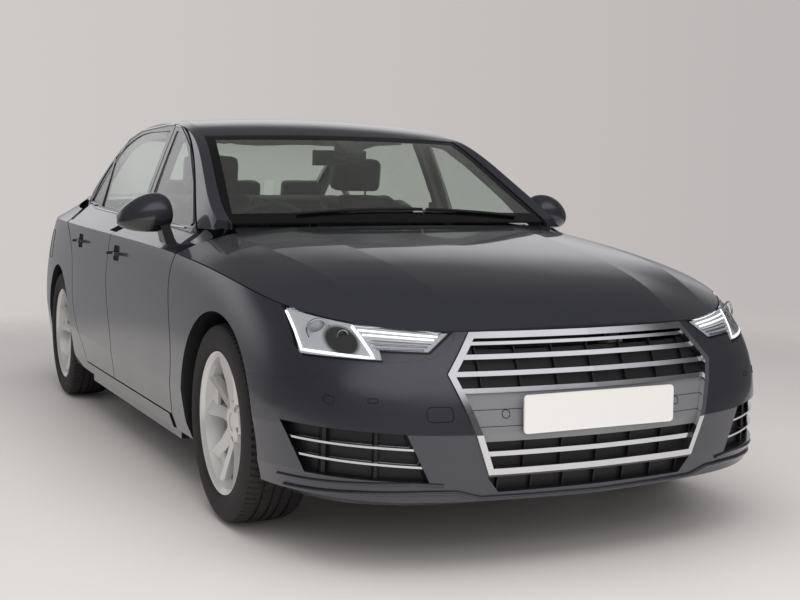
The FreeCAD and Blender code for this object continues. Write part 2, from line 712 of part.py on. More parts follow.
front_door = door(
    grown(FRONT_DOOR_FACE, -SHUT_GAP * HALF), grown(FRONT_DOOR_FACE, -FRAME_GAP * HALF),
    FRONT_HINGE_X, [FRONT_WINDOW_FACE])
front_door = with_handle(front_door, HANDLE_FRONT_PLACE)
rear_door = door(
    grown(REAR_DOOR_FACE, -SHUT_GAP * HALF), grown(REAR_DOOR_FACE, -FRAME_GAP * HALF),
    REAR_HINGE_X, [REAR_WINDOW_FACE, QUARTER_WINDOW_FACE])
rear_door = with_handle(rear_door, HANDLE_REAR_PLACE)
front_glass = glazing([FRONT_WINDOW_FACE])
rear_glass = glazing([REAR_WINDOW_FACE, QUARTER_WINDOW_FACE])

# The fixed body: pillars and rails, quarter panels, sills and the posts inside the doors
BONNET_REAR_X = station(1.152)
BONNET_CORNER_X = station(1.182)
SCREEN_BASE_X = station(1.164)
SCREEN_CORNER_X = station(1.196)
HEADER_X = station(1.386)
HEADER_CORNER_X = station(1.430)
REAR_HEADER_X = station(1.862)
REAR_HEADER_CORNER_X = station(1.845)
REAR_BASE_X = station(2.285)
REAR_BASE_CORNER_X = station(2.235)
LID_SIDE_Y = w(0.615)
LID_FRONT_X = station(2.300)
LID_SILL_Z = h(0.47)
BUMPER_TOP_Z = h(0.475)
RABBET_WIDTH = 24.0


def across_band(front_middle, front_corner, rear_middle, rear_corner):
    """A block across the car between two arcs in plan."""
    y = HALF_WIDTH
    front_mid = Vector(front_middle, 0, 0)
    front_left = Vector(front_corner, y, 0)
    front_right = Vector(front_corner, -y, 0)
    rear_mid = Vector(rear_middle, 0, 0)
    rear_left = Vector(rear_corner, y, 0)
    rear_right = Vector(rear_corner, -y, 0)
    edges = [
        Part.Arc(front_left, front_mid, front_right).toShape(), Part.makeLine(front_right, rear_right),
        Part.Arc(rear_right, rear_mid, rear_left).toShape(), Part.makeLine(rear_left, front_left)]
    return through(Part.Face(Part.Wire(edges)), UP, 0, BODY_HEIGHT * 2)


BASE_SPREAD = w(0.05)
HEADER_SPREAD = w(0.12)
# The bands widen towards the corners, so their arcs reach past the glass to the body's sides
SCREEN_BAND = across_band(SCREEN_BASE_X, SCREEN_CORNER_X - BASE_SPREAD, HEADER_X, HEADER_CORNER_X - HEADER_SPREAD)
ROOF_BAND = across_band(
    HEADER_X - SEAT_GAP, HEADER_CORNER_X - HEADER_SPREAD - SEAT_GAP, REAR_HEADER_X, REAR_HEADER_CORNER_X + BASE_SPREAD)
REAR_BAND = across_band(
    REAR_HEADER_X - SEAT_GAP, REAR_HEADER_CORNER_X + BASE_SPREAD - SEAT_GAP, REAR_BASE_X,
    REAR_BASE_CORNER_X + BASE_SPREAD)
BETWEEN_GLASS_EDGES = between_lines(SCREEN_EDGE_SHARES, RABBET_WIDTH)
BETWEEN_SEATED = between_lines(SCREEN_EDGE_SHARES, SEAT_GAP)
REAR_GLASS_LOW_Z = h(0.70)
windscreen = largest(SIDE_GLASS_SHELL.common(SCREEN_BAND).common(BETWEEN_SEATED).common(
    block(0, REACH, -REACH, REACH, FRAME_FOOT_Z, REACH)))
rear_window = largest(SIDE_GLASS_SHELL.common(REAR_BAND).common(BETWEEN_SEATED).common(
    block(-REACH, 0, -REACH, REACH, REAR_GLASS_LOW_Z, REACH)))
roof_panel = largest(HOUSE.cut(HOUSE_ROOF).common(ROOF_BAND).common(BETWEEN_SEATED))

# Pillars: an outer ring round the doors and glass, and an inner ring that the panes and seals sit on
door_faces = [FRONT_DOOR_FACE, REAR_DOOR_FACE]
HOUSE_WALL = HOUSE.cut(HOUSE_RABBET)
HOUSE_LINING = HOUSE_RABBET.cut(HOUSE_INNER)
RING_FRONT_X = station(1.182)
RING_REAR_X = station(2.50)
RING_LOW_Z = h(0.66)
SIDE_ZONE = block(RING_REAR_X, RING_FRONT_X, 0, REACH, RING_LOW_Z, REACH)
outer_ring = HOUSE_WALL.common(SIDE_ZONE).cut(BETWEEN_SCREEN_EDGES)
RAIL_SEAM = between_lines(RAIL_SHARES, LID_GAP)
for face in door_faces:
    door_space = left_prism(grown(face, FRAME_GAP * HALF))
    outer_ring = outer_ring.cut(door_space.cut(RAIL_SEAM)).cut(door_space.common(OUTER))
ABOVE_BELT_FACE = side_outline(
    [(1.150, 0.660), (1.190, 0.663), (1.450, 0.679), (1.750, 0.702), (2.000, 0.718), (2.500, 0.734)],
    [(2.500, 0.734), (2.500, 1.100)], [(2.500, 1.100), (1.150, 1.100)], [(1.150, 1.100), (1.150, 0.660)])
lining = HOUSE_LINING.common(SIDE_ZONE).cut(BETWEEN_GLASS_EDGES).common(left_prism(ABOVE_BELT_FACE))
for face in door_faces:
    lining = lining.cut(left_prism(grown(face, -RABBET_WIDTH)))

# The quarter panel and sill: the lower skin outside the doors, the bumpers and the wings
door_gap = [left_prism(grown(face, SHUT_GAP * HALF)) for face in door_faces]
rear_bumper_face = side_outline(
    [(2.330, 0.100), (2.330, 0.395), (2.420, 0.440), (2.560, 0.475)],
    [(2.560, 0.475), (3.200, 0.475)], [(3.200, 0.475), (3.200, 0.050)], [(3.200, 0.050), (2.330, 0.100)])
QUARTER_INNER_Y = w(0.30)
LOWER_BODY_TOP_Z = h(0.80)
TAIL_X = station(2.86)
TAIL_TOP_Z = h(0.655)
quarter_zone = block(-NOSE_X * 2, FRONT_HINGE_X, QUARTER_INNER_Y, REACH, 0, LOWER_BODY_TOP_Z)
quarter = LOWER_PANEL_SHELL.common(quarter_zone)
for cutter in door_gap:
    quarter = quarter.cut(cutter)
quarter = quarter.cut(left_prism(rear_bumper_face))
tail_zone = block(-NOSE_X * 2, TAIL_X, 0, REACH, BUMPER_TOP_Z, TAIL_TOP_Z)
quarter = quarter.cut(tail_zone)
lid_zone = block(-NOSE_X * 2, LID_FRONT_X + LID_GAP, 0, LID_SIDE_Y + LID_GAP, LID_SILL_Z, BODY_HEIGHT)
quarter = quarter.cut(lid_zone)
for arch in ARCHES:
    quarter = quarter.cut(arch)
quarter = without_scraps(quarter)
BONNET_PIN_END_Y = w(0.748)
BONNET_PIN_RADIUS = 6.0
SILL_TOP_Z = h(0.178)
SILL_FRONT_X = station(1.203)
POST_FRONT_X = station(1.189)
POST_LEAD = BOX_LEAD - SHUT_GAP
POST_LOW_Z = h(0.12)
POST_TOP_Z = h(0.62)
POST_LENGTH = w(0.10)
SWING_LEAD = w(0.112)
SWING_TRAIL = w(0.096)
UPPER_POST_LOW_Z = h(0.60)
UPPER_POST_FOOT_Z = h(0.63)
UPPER_POST_TOP_Z = h(0.70)
UPPER_POST_HEAD_LOW_Z = h(0.690)
UPPER_POST_HEAD_Z = h(0.725)
UPPER_POST_HEAD_LENGTH = w(0.033)
UPPER_POST_DEPTH = w(0.05)
UPPER_POST_THICKNESS = w(0.02)
SILL_REACH = w(0.08)
SILL_REAR_X = station(1.76)
SILL_INNER_Y = PILLAR_INNER_Y - SILL_REACH
SILL_OUTER_Y = w(0.93)
SILL_LOW_Z = h(0.118)
sill_box = block(SILL_REAR_X, SILL_FRONT_X, SILL_INNER_Y, SILL_OUTER_Y, SILL_LOW_Z, SILL_TOP_Z)
hinge_post = block(FRONT_HINGE_X - POST_LEAD, POST_FRONT_X, PILLAR_INNER_Y, PILLAR_OUTER_Y, POST_LOW_Z, POST_TOP_Z)
centre_post = block(
    REAR_HINGE_X - POST_LEAD, REAR_HINGE_X + POST_LENGTH, PILLAR_INNER_Y, PILLAR_OUTER_Y, POST_LOW_Z, POST_TOP_Z)
POST_REAR_X = REAR_HINGE_X - POST_LEAD
POST_END_X = REAR_HINGE_X + POST_LENGTH
UPPER_POST_Y = PILLAR_INNER_Y - UPPER_POST_DEPTH
UPPER_POST_OUTER_Y = UPPER_POST_Y + UPPER_POST_THICKNESS
# Above its foot the post stands further in, out of the way of the rear door's front edge as that opens
centre_top = [
    block(POST_REAR_X, POST_END_X, UPPER_POST_Y, PILLAR_INNER_Y, UPPER_POST_LOW_Z, UPPER_POST_FOOT_Z),
    block(POST_REAR_X, POST_END_X, UPPER_POST_Y, UPPER_POST_OUTER_Y, UPPER_POST_LOW_Z, UPPER_POST_TOP_Z),
    block(POST_END_X - UPPER_POST_HEAD_LENGTH, POST_END_X, UPPER_POST_Y, UPPER_POST_OUTER_Y,
          UPPER_POST_HEAD_LOW_Z, UPPER_POST_HEAD_Z)]
# The rail over the rear door gives way to the door's upper front corner, and its foot to the open bonnet
SWING_FRONT_X = REAR_HINGE_X + SWING_LEAD
SWING_REAR_X = REAR_HINGE_X - SWING_TRAIL
SWING_INNER_Y = w(0.630)
SWING_OUTER_Y = w(0.660)
SWING_LOW_Z = h(0.905)
SWING_TOP_Z = h(0.9655)
NOTCH_REAR_X = station(1.191)
NOTCH_FRONT_X = station(1.180)
NOTCH_INNER_Y = w(0.740)
NOTCH_OUTER_Y = w(0.802)
NOTCH_LOW_Z = h(0.655)
NOTCH_TOP_Z = h(0.683)
swing_space = block(SWING_REAR_X, SWING_FRONT_X, SWING_INNER_Y, SWING_OUTER_Y, SWING_LOW_Z, SWING_TOP_Z)
bonnet_space = block(NOTCH_REAR_X, NOTCH_FRONT_X, NOTCH_INNER_Y, NOTCH_OUTER_Y, NOTCH_LOW_Z, NOTCH_TOP_Z)
outer_ring = outer_ring.cut(swing_space).cut(bonnet_space)
lining = lining.cut(bonnet_space)
BONNET_HINGE_X = station(1.2014)
BONNET_HINGE_Z = h(0.6167)
bonnet_pin = rod(
    Vector(BONNET_HINGE_X, BONNET_PIN_END_Y, BONNET_HINGE_Z), Vector(BONNET_HINGE_X, PILLAR_OUTER_Y, BONNET_HINGE_Z),
    BONNET_PIN_RADIUS)
pieces = [quarter, sill_box, hinge_post, centre_post, outer_ring, lining, bonnet_pin] + centre_top
pieces += hinge_brackets(FRONT_HINGE_X) + hinge_brackets(REAR_HINGE_X)
body_side = joined(pieces)

# Front of the car: bonnet, wings, bumper, grille and lamps
BUMPER_DEPTH = 60.0
LOWER_BUMPER = lower_form(BUMPER_DEPTH)
BUMPER_SHELL = shell(OUTER, LOWER_BUMPER)


def bonnet_outline(inset):
    """The bonnet's outline in plan, inside the shoulder line at the front and sides."""
    edge = inset_line(flat(line(SHOULDER_SHARES)), inset)
    ring_edges = [spline_edge(edge), spline_edge(mirrored(edge))]
    face = Part.Face(Part.Wire(ring_edges))
    band = across_band(NOSE_X * 2, NOSE_X, BONNET_REAR_X + inset, BONNET_CORNER_X + inset)
    return through(face, UP, TUB_HEIGHT_SHARE * BODY_HEIGHT, BODY_HEIGHT).common(band)


bonnet_cut = bonnet_outline(0)
BONNET_FLANGE = 8.0
BONNET_FLANGE_WIDTH = 60.0
BONNET_ARM_Y = w(0.750)
BONNET_ARM_THICKNESS = w(0.014)
BONNET_ARM_LOW_Z = h(0.609)
BONNET_ARM_TOP_Z = h(0.624)
BONNET_PAD_TOP_Z = h(0.637)
BONNET_PAD_REAR_X = station(1.168)
BONNET_PAD_FRONT_X = station(1.145)
BONNET_BARREL = 12.0
bonnet_flange = bonnet_form(BONNET_FLANGE).common(bonnet_outline(LID_GAP))
bonnet_frame = bonnet_form(BONNET_DEPTH).common(bonnet_outline(LID_GAP + BONNET_FLANGE_WIDTH))
bonnet_axis_end = Vector(BONNET_HINGE_X, BONNET_ARM_Y, BONNET_HINGE_Z)
bonnet_arm_pieces = [
    block(BONNET_HINGE_X, BONNET_PAD_FRONT_X, BONNET_ARM_Y, BONNET_ARM_Y + BONNET_ARM_THICKNESS,
          BONNET_ARM_LOW_Z, BONNET_ARM_TOP_Z),
    block(BONNET_PAD_REAR_X, BONNET_PAD_FRONT_X, BONNET_ARM_Y, BONNET_ARM_Y + BONNET_ARM_THICKNESS,
          BONNET_ARM_LOW_Z, BONNET_PAD_TOP_Z),
    rod(bonnet_axis_end, bonnet_axis_end + ACROSS * BONNET_ARM_THICKNESS, BONNET_BARREL)]
bonnet_bore = rod(
    bonnet_axis_end - ACROSS * BONNET_PIN_RADIUS, bonnet_axis_end + ACROSS * BONNET_ARM_THICKNESS * 2,
    BONNET_PIN_RADIUS + PIN_CLEARANCE)
bonnet_arm = joined(bonnet_arm_pieces).cut(bonnet_bore)
bonnet = joined([bonnet_flange, bonnet_frame] + both(bonnet_arm))
bonnet = largest(bonnet)
arm_slot = block(
    BONNET_HINGE_X, BONNET_PAD_FRONT_X, BONNET_ARM_Y - SHUT_GAP, BONNET_ARM_Y + BONNET_ARM_THICKNESS + SHUT_GAP,
    TUB_HEIGHT_SHARE * BODY_HEIGHT, GREENHOUSE_BASE_SHARE * BODY_HEIGHT * 2)

wing_face = side_outline(
    [(1.181, 0.640), (1.181, 0.598)],
    FRONT_DOOR_LEAD, [(1.198, 0.185), (1.198, 0.100)], [(1.198, 0.100), (0.720, 0.100)],
    [(0.720, 0.100), (0.700, 0.369)], [(0.700, 0.369), (0.400, 0.381)],
    [(0.400, 0.381), (0.325, 0.386), (0.302, 0.400), (0.296, 0.428)],
    [(0.296, 0.428), (0.296, 0.640)], [(0.296, 0.640), (1.181, 0.640)])
wing_prism = left_prism(grown(wing_face, -SHUT_GAP * HALF))
LAMP_FACE = front_outline(
    [(0.446, 0.476), (0.480, 0.445), (0.560, 0.425), (0.683, 0.420)],
    [(0.683, 0.420), (0.800, 0.4205), (0.866, 0.426)],
    [(0.866, 0.426), (0.890, 0.470), (0.885, 0.520)],
    [(0.885, 0.520), (0.885, 0.560)], [(0.885, 0.560), (0.446, 0.560)], [(0.446, 0.560), (0.446, 0.476)])
LAMP_BACK_X = station(0.62)
NOSE_REAR_X = station(0.95)
WING_COVER_REAR_X = station(1.20)
WING_COVER_FRONT_X = station(0.74)
WING_COVER_LOW_Z = h(0.36)
FOG_BACK_X = station(0.60)
lamp_prism = through(LAMP_FACE, ALONG, LAMP_BACK_X, NOSE_X * 2)
lamp_hole = through(grown(LAMP_FACE, SEAT_GAP), ALONG, LAMP_BACK_X, NOSE_X * 2)
wing = LOWER_PANEL_SHELL.common(wing_prism).cut(bonnet_cut).cut(ARCHES[0]).cut(lamp_hole).cut(arm_slot)
wing = largest(wing)

LENS_DEPTH = 4.0
LENS_INNER = lower_form(LENS_DEPTH)
LAMP_REACH = lower_form(LENS_DEPTH + SEAT_GAP)
LAMP_DEPTH = w(0.11)
LAMP_INNER = lower_form(LAMP_DEPTH)
headlamp_lens = OUTER.cut(LENS_INNER).common(lamp_prism).cut(bonnet_cut)
headlamp_lens = largest(headlamp_lens)
headlamp = OUTER.common(LAMP_REACH).cut(LAMP_INNER).common(lamp_prism).cut(bonnet_cut)
headlamp = largest(headlamp)

# Bumper: all of the nose below the bonnet and ahead of the wings
GRILLE_FACE = front_outline(
    [(0.405, 0.478), (0.500, 0.399)], [(0.500, 0.399), (0.386, 0.198)], [(0.386, 0.198), (-0.386, 0.198)],
    [(-0.386, 0.198), (-0.500, 0.399)], [(-0.500, 0.399), (-0.405, 0.478)], [(-0.405, 0.478), (0.405, 0.478)])
FOG_FACE = front_outline(
    [(0.930, 0.296), (0.635, 0.284)], [(0.635, 0.284), (0.565, 0.186)], [(0.565, 0.186), (0.880, 0.196)],
    [(0.880, 0.196), (0.930, 0.296)])
INTAKE_FACE = front_outline(
    [(0.385, 0.1925), (0.345, 0.160)], [(0.345, 0.160), (-0.345, 0.160)], [(-0.345, 0.160), (-0.385, 0.1925)],
    [(-0.385, 0.1925), (0.385, 0.1925)])
GRILLE_BACK_X = station(0.18)
GRILLE_RIM = w(0.0195)
front_zone = block(NOSE_REAR_X, NOSE_X * 2, -REACH, REACH, 0, LOWER_BODY_TOP_Z)
bumper = BUMPER_SHELL.common(front_zone)
wing_side = left_prism(grown(wing_face, -SHUT_GAP * HALF + SEAT_GAP))
behind_wing = block(WING_COVER_REAR_X, WING_COVER_FRONT_X, -REACH, REACH, WING_COVER_LOW_Z, REACH)
for cutter in both(wing_side) + [behind_wing] + both(lamp_hole):
    bumper = bumper.cut(cutter)
bumper = bumper.cut(bonnet_cut).cut(ARCHES[0])
grille_hole = through(grown(GRILLE_FACE, SEAT_GAP), ALONG, GRILLE_BACK_X, NOSE_X * 2)
fog_hole = through(grown(FOG_FACE, SEAT_GAP), ALONG, FOG_BACK_X, NOSE_X * 2)
intake_hole = through(grown(INTAKE_FACE, SEAT_GAP), ALONG, GRILLE_BACK_X, NOSE_X * 2)
bumper = bumper.cut(grille_hole).cut(intake_hole)
for cutter in both(fog_hole):
    bumper = bumper.cut(cutter)
front_bumper = without_scraps(bumper)

grille_outer = through(GRILLE_FACE, ALONG, GRILLE_BACK_X, NOSE_X * 2)
grille_inner = through(grown(GRILLE_FACE, -GRILLE_RIM), ALONG, GRILLE_BACK_X, NOSE_X * 2)
grille_seat = through(grown(GRILLE_FACE, -GRILLE_RIM - SEAT_GAP), ALONG, GRILLE_BACK_X, NOSE_X * 2)
PROUD = lower_form(-SHUT_GAP)
SLAT_SINK = 4.0
BAND_SINK = 12.0
RIB_SINK = 16.0
SLAT_ZONE = lower_form(SLAT_SINK).cut(lower_form(PANEL_DEPTH - SEAT_GAP))
BAND_ZONE = lower_form(BAND_SINK).cut(LOWER_PANEL)
RIB_ZONE = lower_form(RIB_SINK).cut(LOWER_PANEL)
# The lower and upper edge of each chrome bar and of each row beside the plate, and the ribs' places
SLAT_EDGE_SHARES = [(0.2350, 0.2450), (0.3605, 0.3700), (0.3925, 0.4020), (0.4245, 0.4340), (0.4515, 0.4580)]
ROW_EDGE_SHARES = [(0.2640, 0.2935), (0.2950, 0.3265), (0.3280, 0.3595)]
RIB_PITCH = w(0.130)
RIB_HALF = w(0.0022)
RIB_COUNT = 7
INTAKE_RIB_PITCH = w(0.114)


def level_slab(edges, gap=0.0):
    """All that lies between two heights, given as shares, and a gap more each way."""
    low, high = edges
    return block(0, REACH, -REACH, REACH, h(low) - gap, h(high) + gap)


def upright_ribs(pitch):
    ribs = []
    for i in range(RIB_COUNT):
        y = (i - (RIB_COUNT - 1) * HALF) * pitch
        ribs.append(block(0, REACH, y - RIB_HALF, y + RIB_HALF, 0, BODY_HEIGHT))
    return Part.makeCompound(ribs)


slats = SLAT_ZONE.common(Part.makeCompound([level_slab(edges) for edges in SLAT_EDGE_SHARES])).common(grille_outer)
grille_frame = joined([PROUD.cut(LOWER_BUMPER).common(grille_outer).cut(grille_inner), slats]).cut(bonnet_cut)
grille_frame = largest(grille_frame)
mesh_shell = LOWER_PANEL.common(OUTER).cut(LOWER_BUMPER)
rows = BAND_ZONE.common(Part.makeCompound([level_slab(edges) for edges in ROW_EDGE_SHARES]))
ribs = RIB_ZONE.common(upright_ribs(RIB_PITCH)).common(grille_seat)
for edges in SLAT_EDGE_SHARES + ROW_EDGE_SHARES:
    ribs = ribs.cut(level_slab(edges, SEAT_GAP))
mesh_parts = joined([mesh_shell.common(grille_seat), rows.common(grille_seat), ribs])
grille_mesh = largest(mesh_parts.cut(bonnet_cut))
intake_prism = through(INTAKE_FACE, ALONG, GRILLE_BACK_X, NOSE_X * 2)
intake_ribs = RIB_ZONE.common(upright_ribs(INTAKE_RIB_PITCH)).common(intake_prism)
intake_grille = largest(joined([mesh_shell.common(intake_prism), intake_ribs]))
fog_prism = through(FOG_FACE, ALONG, FOG_BACK_X, NOSE_X * 2)
FOG_RIB_Y = [w(0.835), w(0.710)]
fog_ribs = [block(0, REACH, y - RIB_HALF * 2, y + RIB_HALF * 2, 0, BODY_HEIGHT) for y in FOG_RIB_Y]
# The blades across it: the height of each blade's middle at its outer and inner end
BLADE_SHARES = [(0.2662, 0.2491), (0.2344, 0.2140)]
BLADE_HALF_SHARE = 0.0022
BLADE_OUTER_SHARE = 0.960
BLADE_INNER_SHARE = 0.530
blades = []
for outer, inner in BLADE_SHARES:
    blade_face = front_outline([
        (BLADE_OUTER_SHARE, outer + BLADE_HALF_SHARE), (BLADE_INNER_SHARE, inner + BLADE_HALF_SHARE)], [
        (BLADE_INNER_SHARE, inner + BLADE_HALF_SHARE), (BLADE_INNER_SHARE, inner - BLADE_HALF_SHARE)], [
        (BLADE_INNER_SHARE, inner - BLADE_HALF_SHARE), (BLADE_OUTER_SHARE, outer - BLADE_HALF_SHARE)], [
        (BLADE_OUTER_SHARE, outer - BLADE_HALF_SHARE), (BLADE_OUTER_SHARE, outer + BLADE_HALF_SHARE)])
    blades.append(through(blade_face, ALONG, 0, NOSE_X * 2))
BLADE_ZONE = LOWER_SKIN.cut(LOWER_PANEL)
fog_parts = [mesh_shell, BLADE_ZONE.common(Part.makeCompound(blades)), RIB_ZONE.common(Part.makeCompound(fog_ribs))]
fog_grille = largest(joined([part.common(fog_prism) for part in fog_parts]).cut(ARCHES[0]))

# Rear of the car: boot lid, bumper and lamps
TAIL_LAMP_FACE = front_outline(
    [(0.400, 0.560), (0.400, 0.630)], [(0.400, 0.630), (0.700, 0.642), (0.990, 0.640)],
    [(0.990, 0.640), (0.990, 0.560)], [(0.990, 0.560), (0.700, 0.552), (0.400, 0.560)])
TAIL_LAMP_X = station(2.66)
LID_FACE_X = station(2.80)
BELOW_DECK_Z = h(0.5)
BUMPER_FRONT_X = station(2.30)
BOOT_PIN_INSET = w(0.0326)
tail_lamp_prism = through(TAIL_LAMP_FACE, ALONG, -NOSE_X * 2, TAIL_LAMP_X)
tail_lamp_hole = through(grown(TAIL_LAMP_FACE, SEAT_GAP), ALONG, -NOSE_X * 2, TAIL_LAMP_X + SEAT_GAP)
lid_prism = block(-NOSE_X * 2, LID_FRONT_X, -LID_SIDE_Y, LID_SIDE_Y, LID_SILL_Z + LID_GAP, BODY_HEIGHT)
belt_face = Part.Face(Part.Wire([
    spline_edge(flat(line(BELT_SHARES))), spline_edge(flat(mirrored(line(BELT_SHARES))))]))
belt_prism = through(belt_face, UP, BELOW_DECK_Z, BODY_HEIGHT)
deck = deck_form(PANEL_DEPTH).common(belt_prism)
lid_face = LOWER_PANEL_SHELL.common(lid_prism).common(block(-NOSE_X * 2, LID_FACE_X, -REACH, REACH, 0, REACH))
boot_lid = joined([deck.common(lid_prism), lid_face.cut(tail_lamp_hole).cut(to_right(tail_lamp_hole))])
boot_lid = largest(boot_lid)
BOOT_HINGE_X = LID_FRONT_X - BOOT_PIN_INSET
BOOT_HINGE_DEPTH = 8.0
BOOT_PIN_RADIUS = 3.0
BOOT_PIN_LENGTH = 60.0
BOOT_HINGE_Z = top_at(deck, BOOT_HINGE_X, LID_SIDE_Y) - BOOT_HINGE_DEPTH
boot_pin_end = Vector(BOOT_HINGE_X, LID_SIDE_Y + LID_GAP * 2, BOOT_HINGE_Z)
boot_pin = rod(boot_pin_end - ACROSS * BOOT_PIN_LENGTH, boot_pin_end, BOOT_PIN_RADIUS)
boot_bore = rod(boot_pin_end - ACROSS * BOOT_PIN_LENGTH * 2, boot_pin_end, BOOT_PIN_RADIUS + PIN_CLEARANCE)
boot_lid = boot_lid.cut(boot_bore).cut(to_right(boot_bore))
boot_lamp = largest(LOWER_PANEL_SHELL.common(tail_lamp_prism).common(lid_prism))
side_lamp_zone = block(-NOSE_X * 2, REACH, LID_SIDE_Y + LID_GAP + SEAT_GAP, REACH, 0, REACH)
tail_lamp = largest(LOWER_PANEL_SHELL.common(tail_lamp_prism).common(side_lamp_zone))
rear_zone = block(-NOSE_X * 2, BUMPER_FRONT_X, -REACH, REACH, 0, BUMPER_TOP_Z - SEAT_GAP)
rear_bumper = BUMPER_SHELL.common(rear_zone)
front_part = left_prism(rear_bumper_face)
rear_bumper = rear_bumper.common(joined(both(front_part)))
rear_bumper = rear_bumper.cut(ARCHES[1])
rear_bumper = rear_bumper.cut(block(-NOSE_X * 2, REACH, -LID_SIDE_Y - LID_GAP, LID_SIDE_Y + LID_GAP, LID_SILL_Z, REACH))
rear_bumper = without_scraps(rear_bumper)
deck_side = deck.common(block(-NOSE_X * 2, REACH, LID_SIDE_Y + LID_GAP, REACH, 0, REACH)).cut(door_gap[1])
quarter_tail = LOWER_PANEL_SHELL.common(
    block(-NOSE_X * 2, TAIL_X, LID_SIDE_Y + LID_GAP, REACH, BUMPER_TOP_Z, REACH)).cut(tail_lamp_hole)
body_side = joined([body_side.cut(tail_lamp_hole), deck_side, quarter_tail, boot_pin])


# Wheels: one tyre and one rim are made round the origin, facing left, and then placed at each axle end
WHEEL_WIDTH = w(0.244)
FRONT_WHEEL_Y = w(0.853)
REAR_WHEEL_Y = w(0.844)
HUB_RADIUS = h(0.052)
SPOKE_COUNT = 5
DISC_RADIUS = h(0.11)
DISC_THICKNESS = h(0.017)
DISC_FACE_Y = -w(0.034)
BOLT_CIRCLE = h(0.0392)
BOLT_HOLE_RADIUS = h(0.0065)
BOLT_HOLE_DEPTH = w(0.016)
CAP_RADIUS = h(0.021)
CAP_DEPTH = w(0.004)
AXLE_RADIUS = h(0.020)
FULL_TURN = 360.0

# Each point: its share of the wheel's width outwards, and its share of the wheel's radius
TYRE_PROFILE_SHARES = [
    (-0.42, 0.715), (-0.46, 0.80), (-0.50, 0.88), (-0.49, 0.94), (-0.455, 0.98), (-0.40, 0.995), (0.0, 1.0),
    (0.40, 0.995), (0.455, 0.98), (0.49, 0.94), (0.50, 0.88), (0.46, 0.80), (0.42, 0.715), (0.36, 0.690),
    (-0.36, 0.690)]
RIM_PROFILE_SHARES = [
    (-0.44, 0.712), (-0.43, 0.690), (-0.37, 0.640), (-0.10, 0.640), (0.10, 0.630), (0.38, 0.660), (0.43, 0.690),
    (0.44, 0.712), (0.425, 0.712), (0.41, 0.698), (0.37, 0.689), (-0.37, 0.689), (-0.41, 0.698), (-0.425, 0.712)]
HUB_PROFILE_SHARES = [
    (0.06, 0.0), (0.06, 0.225), (0.19, 0.225), (0.25, 0.200), (0.265, 0.130), (0.265, 0.0)]
# One bar of a double spoke, from the hub to past the rim. Each section: its distance from the axle, its middle's
# distance from the spoke's middle line and its half width, in shares of the wheel's radius, and then its back and
# its ridge in shares of the wheel's width
SPOKE_BAR_SHARES = [
    (0.08, 0.045, 0.045, 0.070, 0.245), (0.36, 0.085, 0.056, 0.120, 0.285), (0.72, 0.185, 0.085, 0.240, 0.385)]
# The corners of a section: shares of its half width away from the middle line, and of its depth below the ridge
SPOKE_CORNER_SHARES = [(1.0, 1.0), (1.0, 0.30), (0.45, 0.0), (-1.0, 0.62), (-1.0, 1.0)]
SPOKE_END_SHARE = 0.672
WEB_SHARES = [(0.50, -0.06), (0.70, -0.16), (0.70, 0.16), (0.50, 0.06)]
WEB_BACK_SHARE = 0.205
WEB_FACE_SHARE = 0.255


def wheel_ring(shares):
    return ring([Vector(0, a * WHEEL_WIDTH, b * WHEEL_RADIUS) for a, b in shares], Vector(0, 0, 0), ACROSS)


def spoke_bar(side):
    """One bar of a double spoke that points up. side is 1 for the front bar and -1 for the rear one."""
    sections = []
    for reach, offset, half_width, back, ridge in SPOKE_BAR_SHARES:
        corners = []
        for away, below in SPOKE_CORNER_SHARES:
            x = side * (offset + away * half_width) * WHEEL_RADIUS
            y = (ridge - below * (ridge - back)) * WHEEL_WIDTH
            corners.append(Vector(x, y, reach * WHEEL_RADIUS))
        sections.append(Part.makePolygon(corners + corners[:1]))
    return Part.makeLoft(sections, True, True)


web_points = [Vector(x * WHEEL_RADIUS, 0, z * WHEEL_RADIUS) for z, x in WEB_SHARES]
web_face = Part.Face(Part.makePolygon(web_points + web_points[:1]))
web = through(web_face, ACROSS, WEB_BACK_SHARE * WHEEL_WIDTH, WEB_FACE_SHARE * WHEEL_WIDTH)
spoke_room = rod(ACROSS * -WHEEL_WIDTH, ACROSS * WHEEL_WIDTH, SPOKE_END_SHARE * WHEEL_RADIUS)
double_spoke = joined([spoke_bar(1), spoke_bar(-1), web]).common(spoke_room)
hub_front_y = HUB_PROFILE_SHARES[-1][0] * WHEEL_WIDTH
rim_parts = [
    wheel_ring(RIM_PROFILE_SHARES), wheel_ring(HUB_PROFILE_SHARES),
    rod(ACROSS * (DISC_FACE_Y - DISC_THICKNESS), ACROSS * DISC_FACE_Y, DISC_RADIUS),
    rod(ACROSS * (DISC_FACE_Y - DISC_THICKNESS), ACROSS * hub_front_y * HALF, HUB_RADIUS)]
rim_cuts = [
    rod(ACROSS * (DISC_FACE_Y - DISC_THICKNESS * 2), ACROSS * DISC_FACE_Y, AXLE_RADIUS + PIN_CLEARANCE),
    rod(ACROSS * (hub_front_y - CAP_DEPTH), ACROSS * hub_front_y * 2, CAP_RADIUS)]
for i in range(SPOKE_COUNT):
    turn = i * FULL_TURN / SPOKE_COUNT
    rim_parts.append(double_spoke.rotated(Vector(0, 0, 0), ACROSS, turn))
    bolt = Vector(0, hub_front_y - BOLT_HOLE_DEPTH, -BOLT_CIRCLE)
    bolt_hole = rod(bolt, bolt + ACROSS * WHEEL_WIDTH, BOLT_HOLE_RADIUS)
    rim_cuts.append(bolt_hole.rotated(Vector(0, 0, 0), ACROSS, turn))
rim = joined(rim_parts).cut(rim_cuts)
tyre = wheel_ring(TYRE_PROFILE_SHARES)
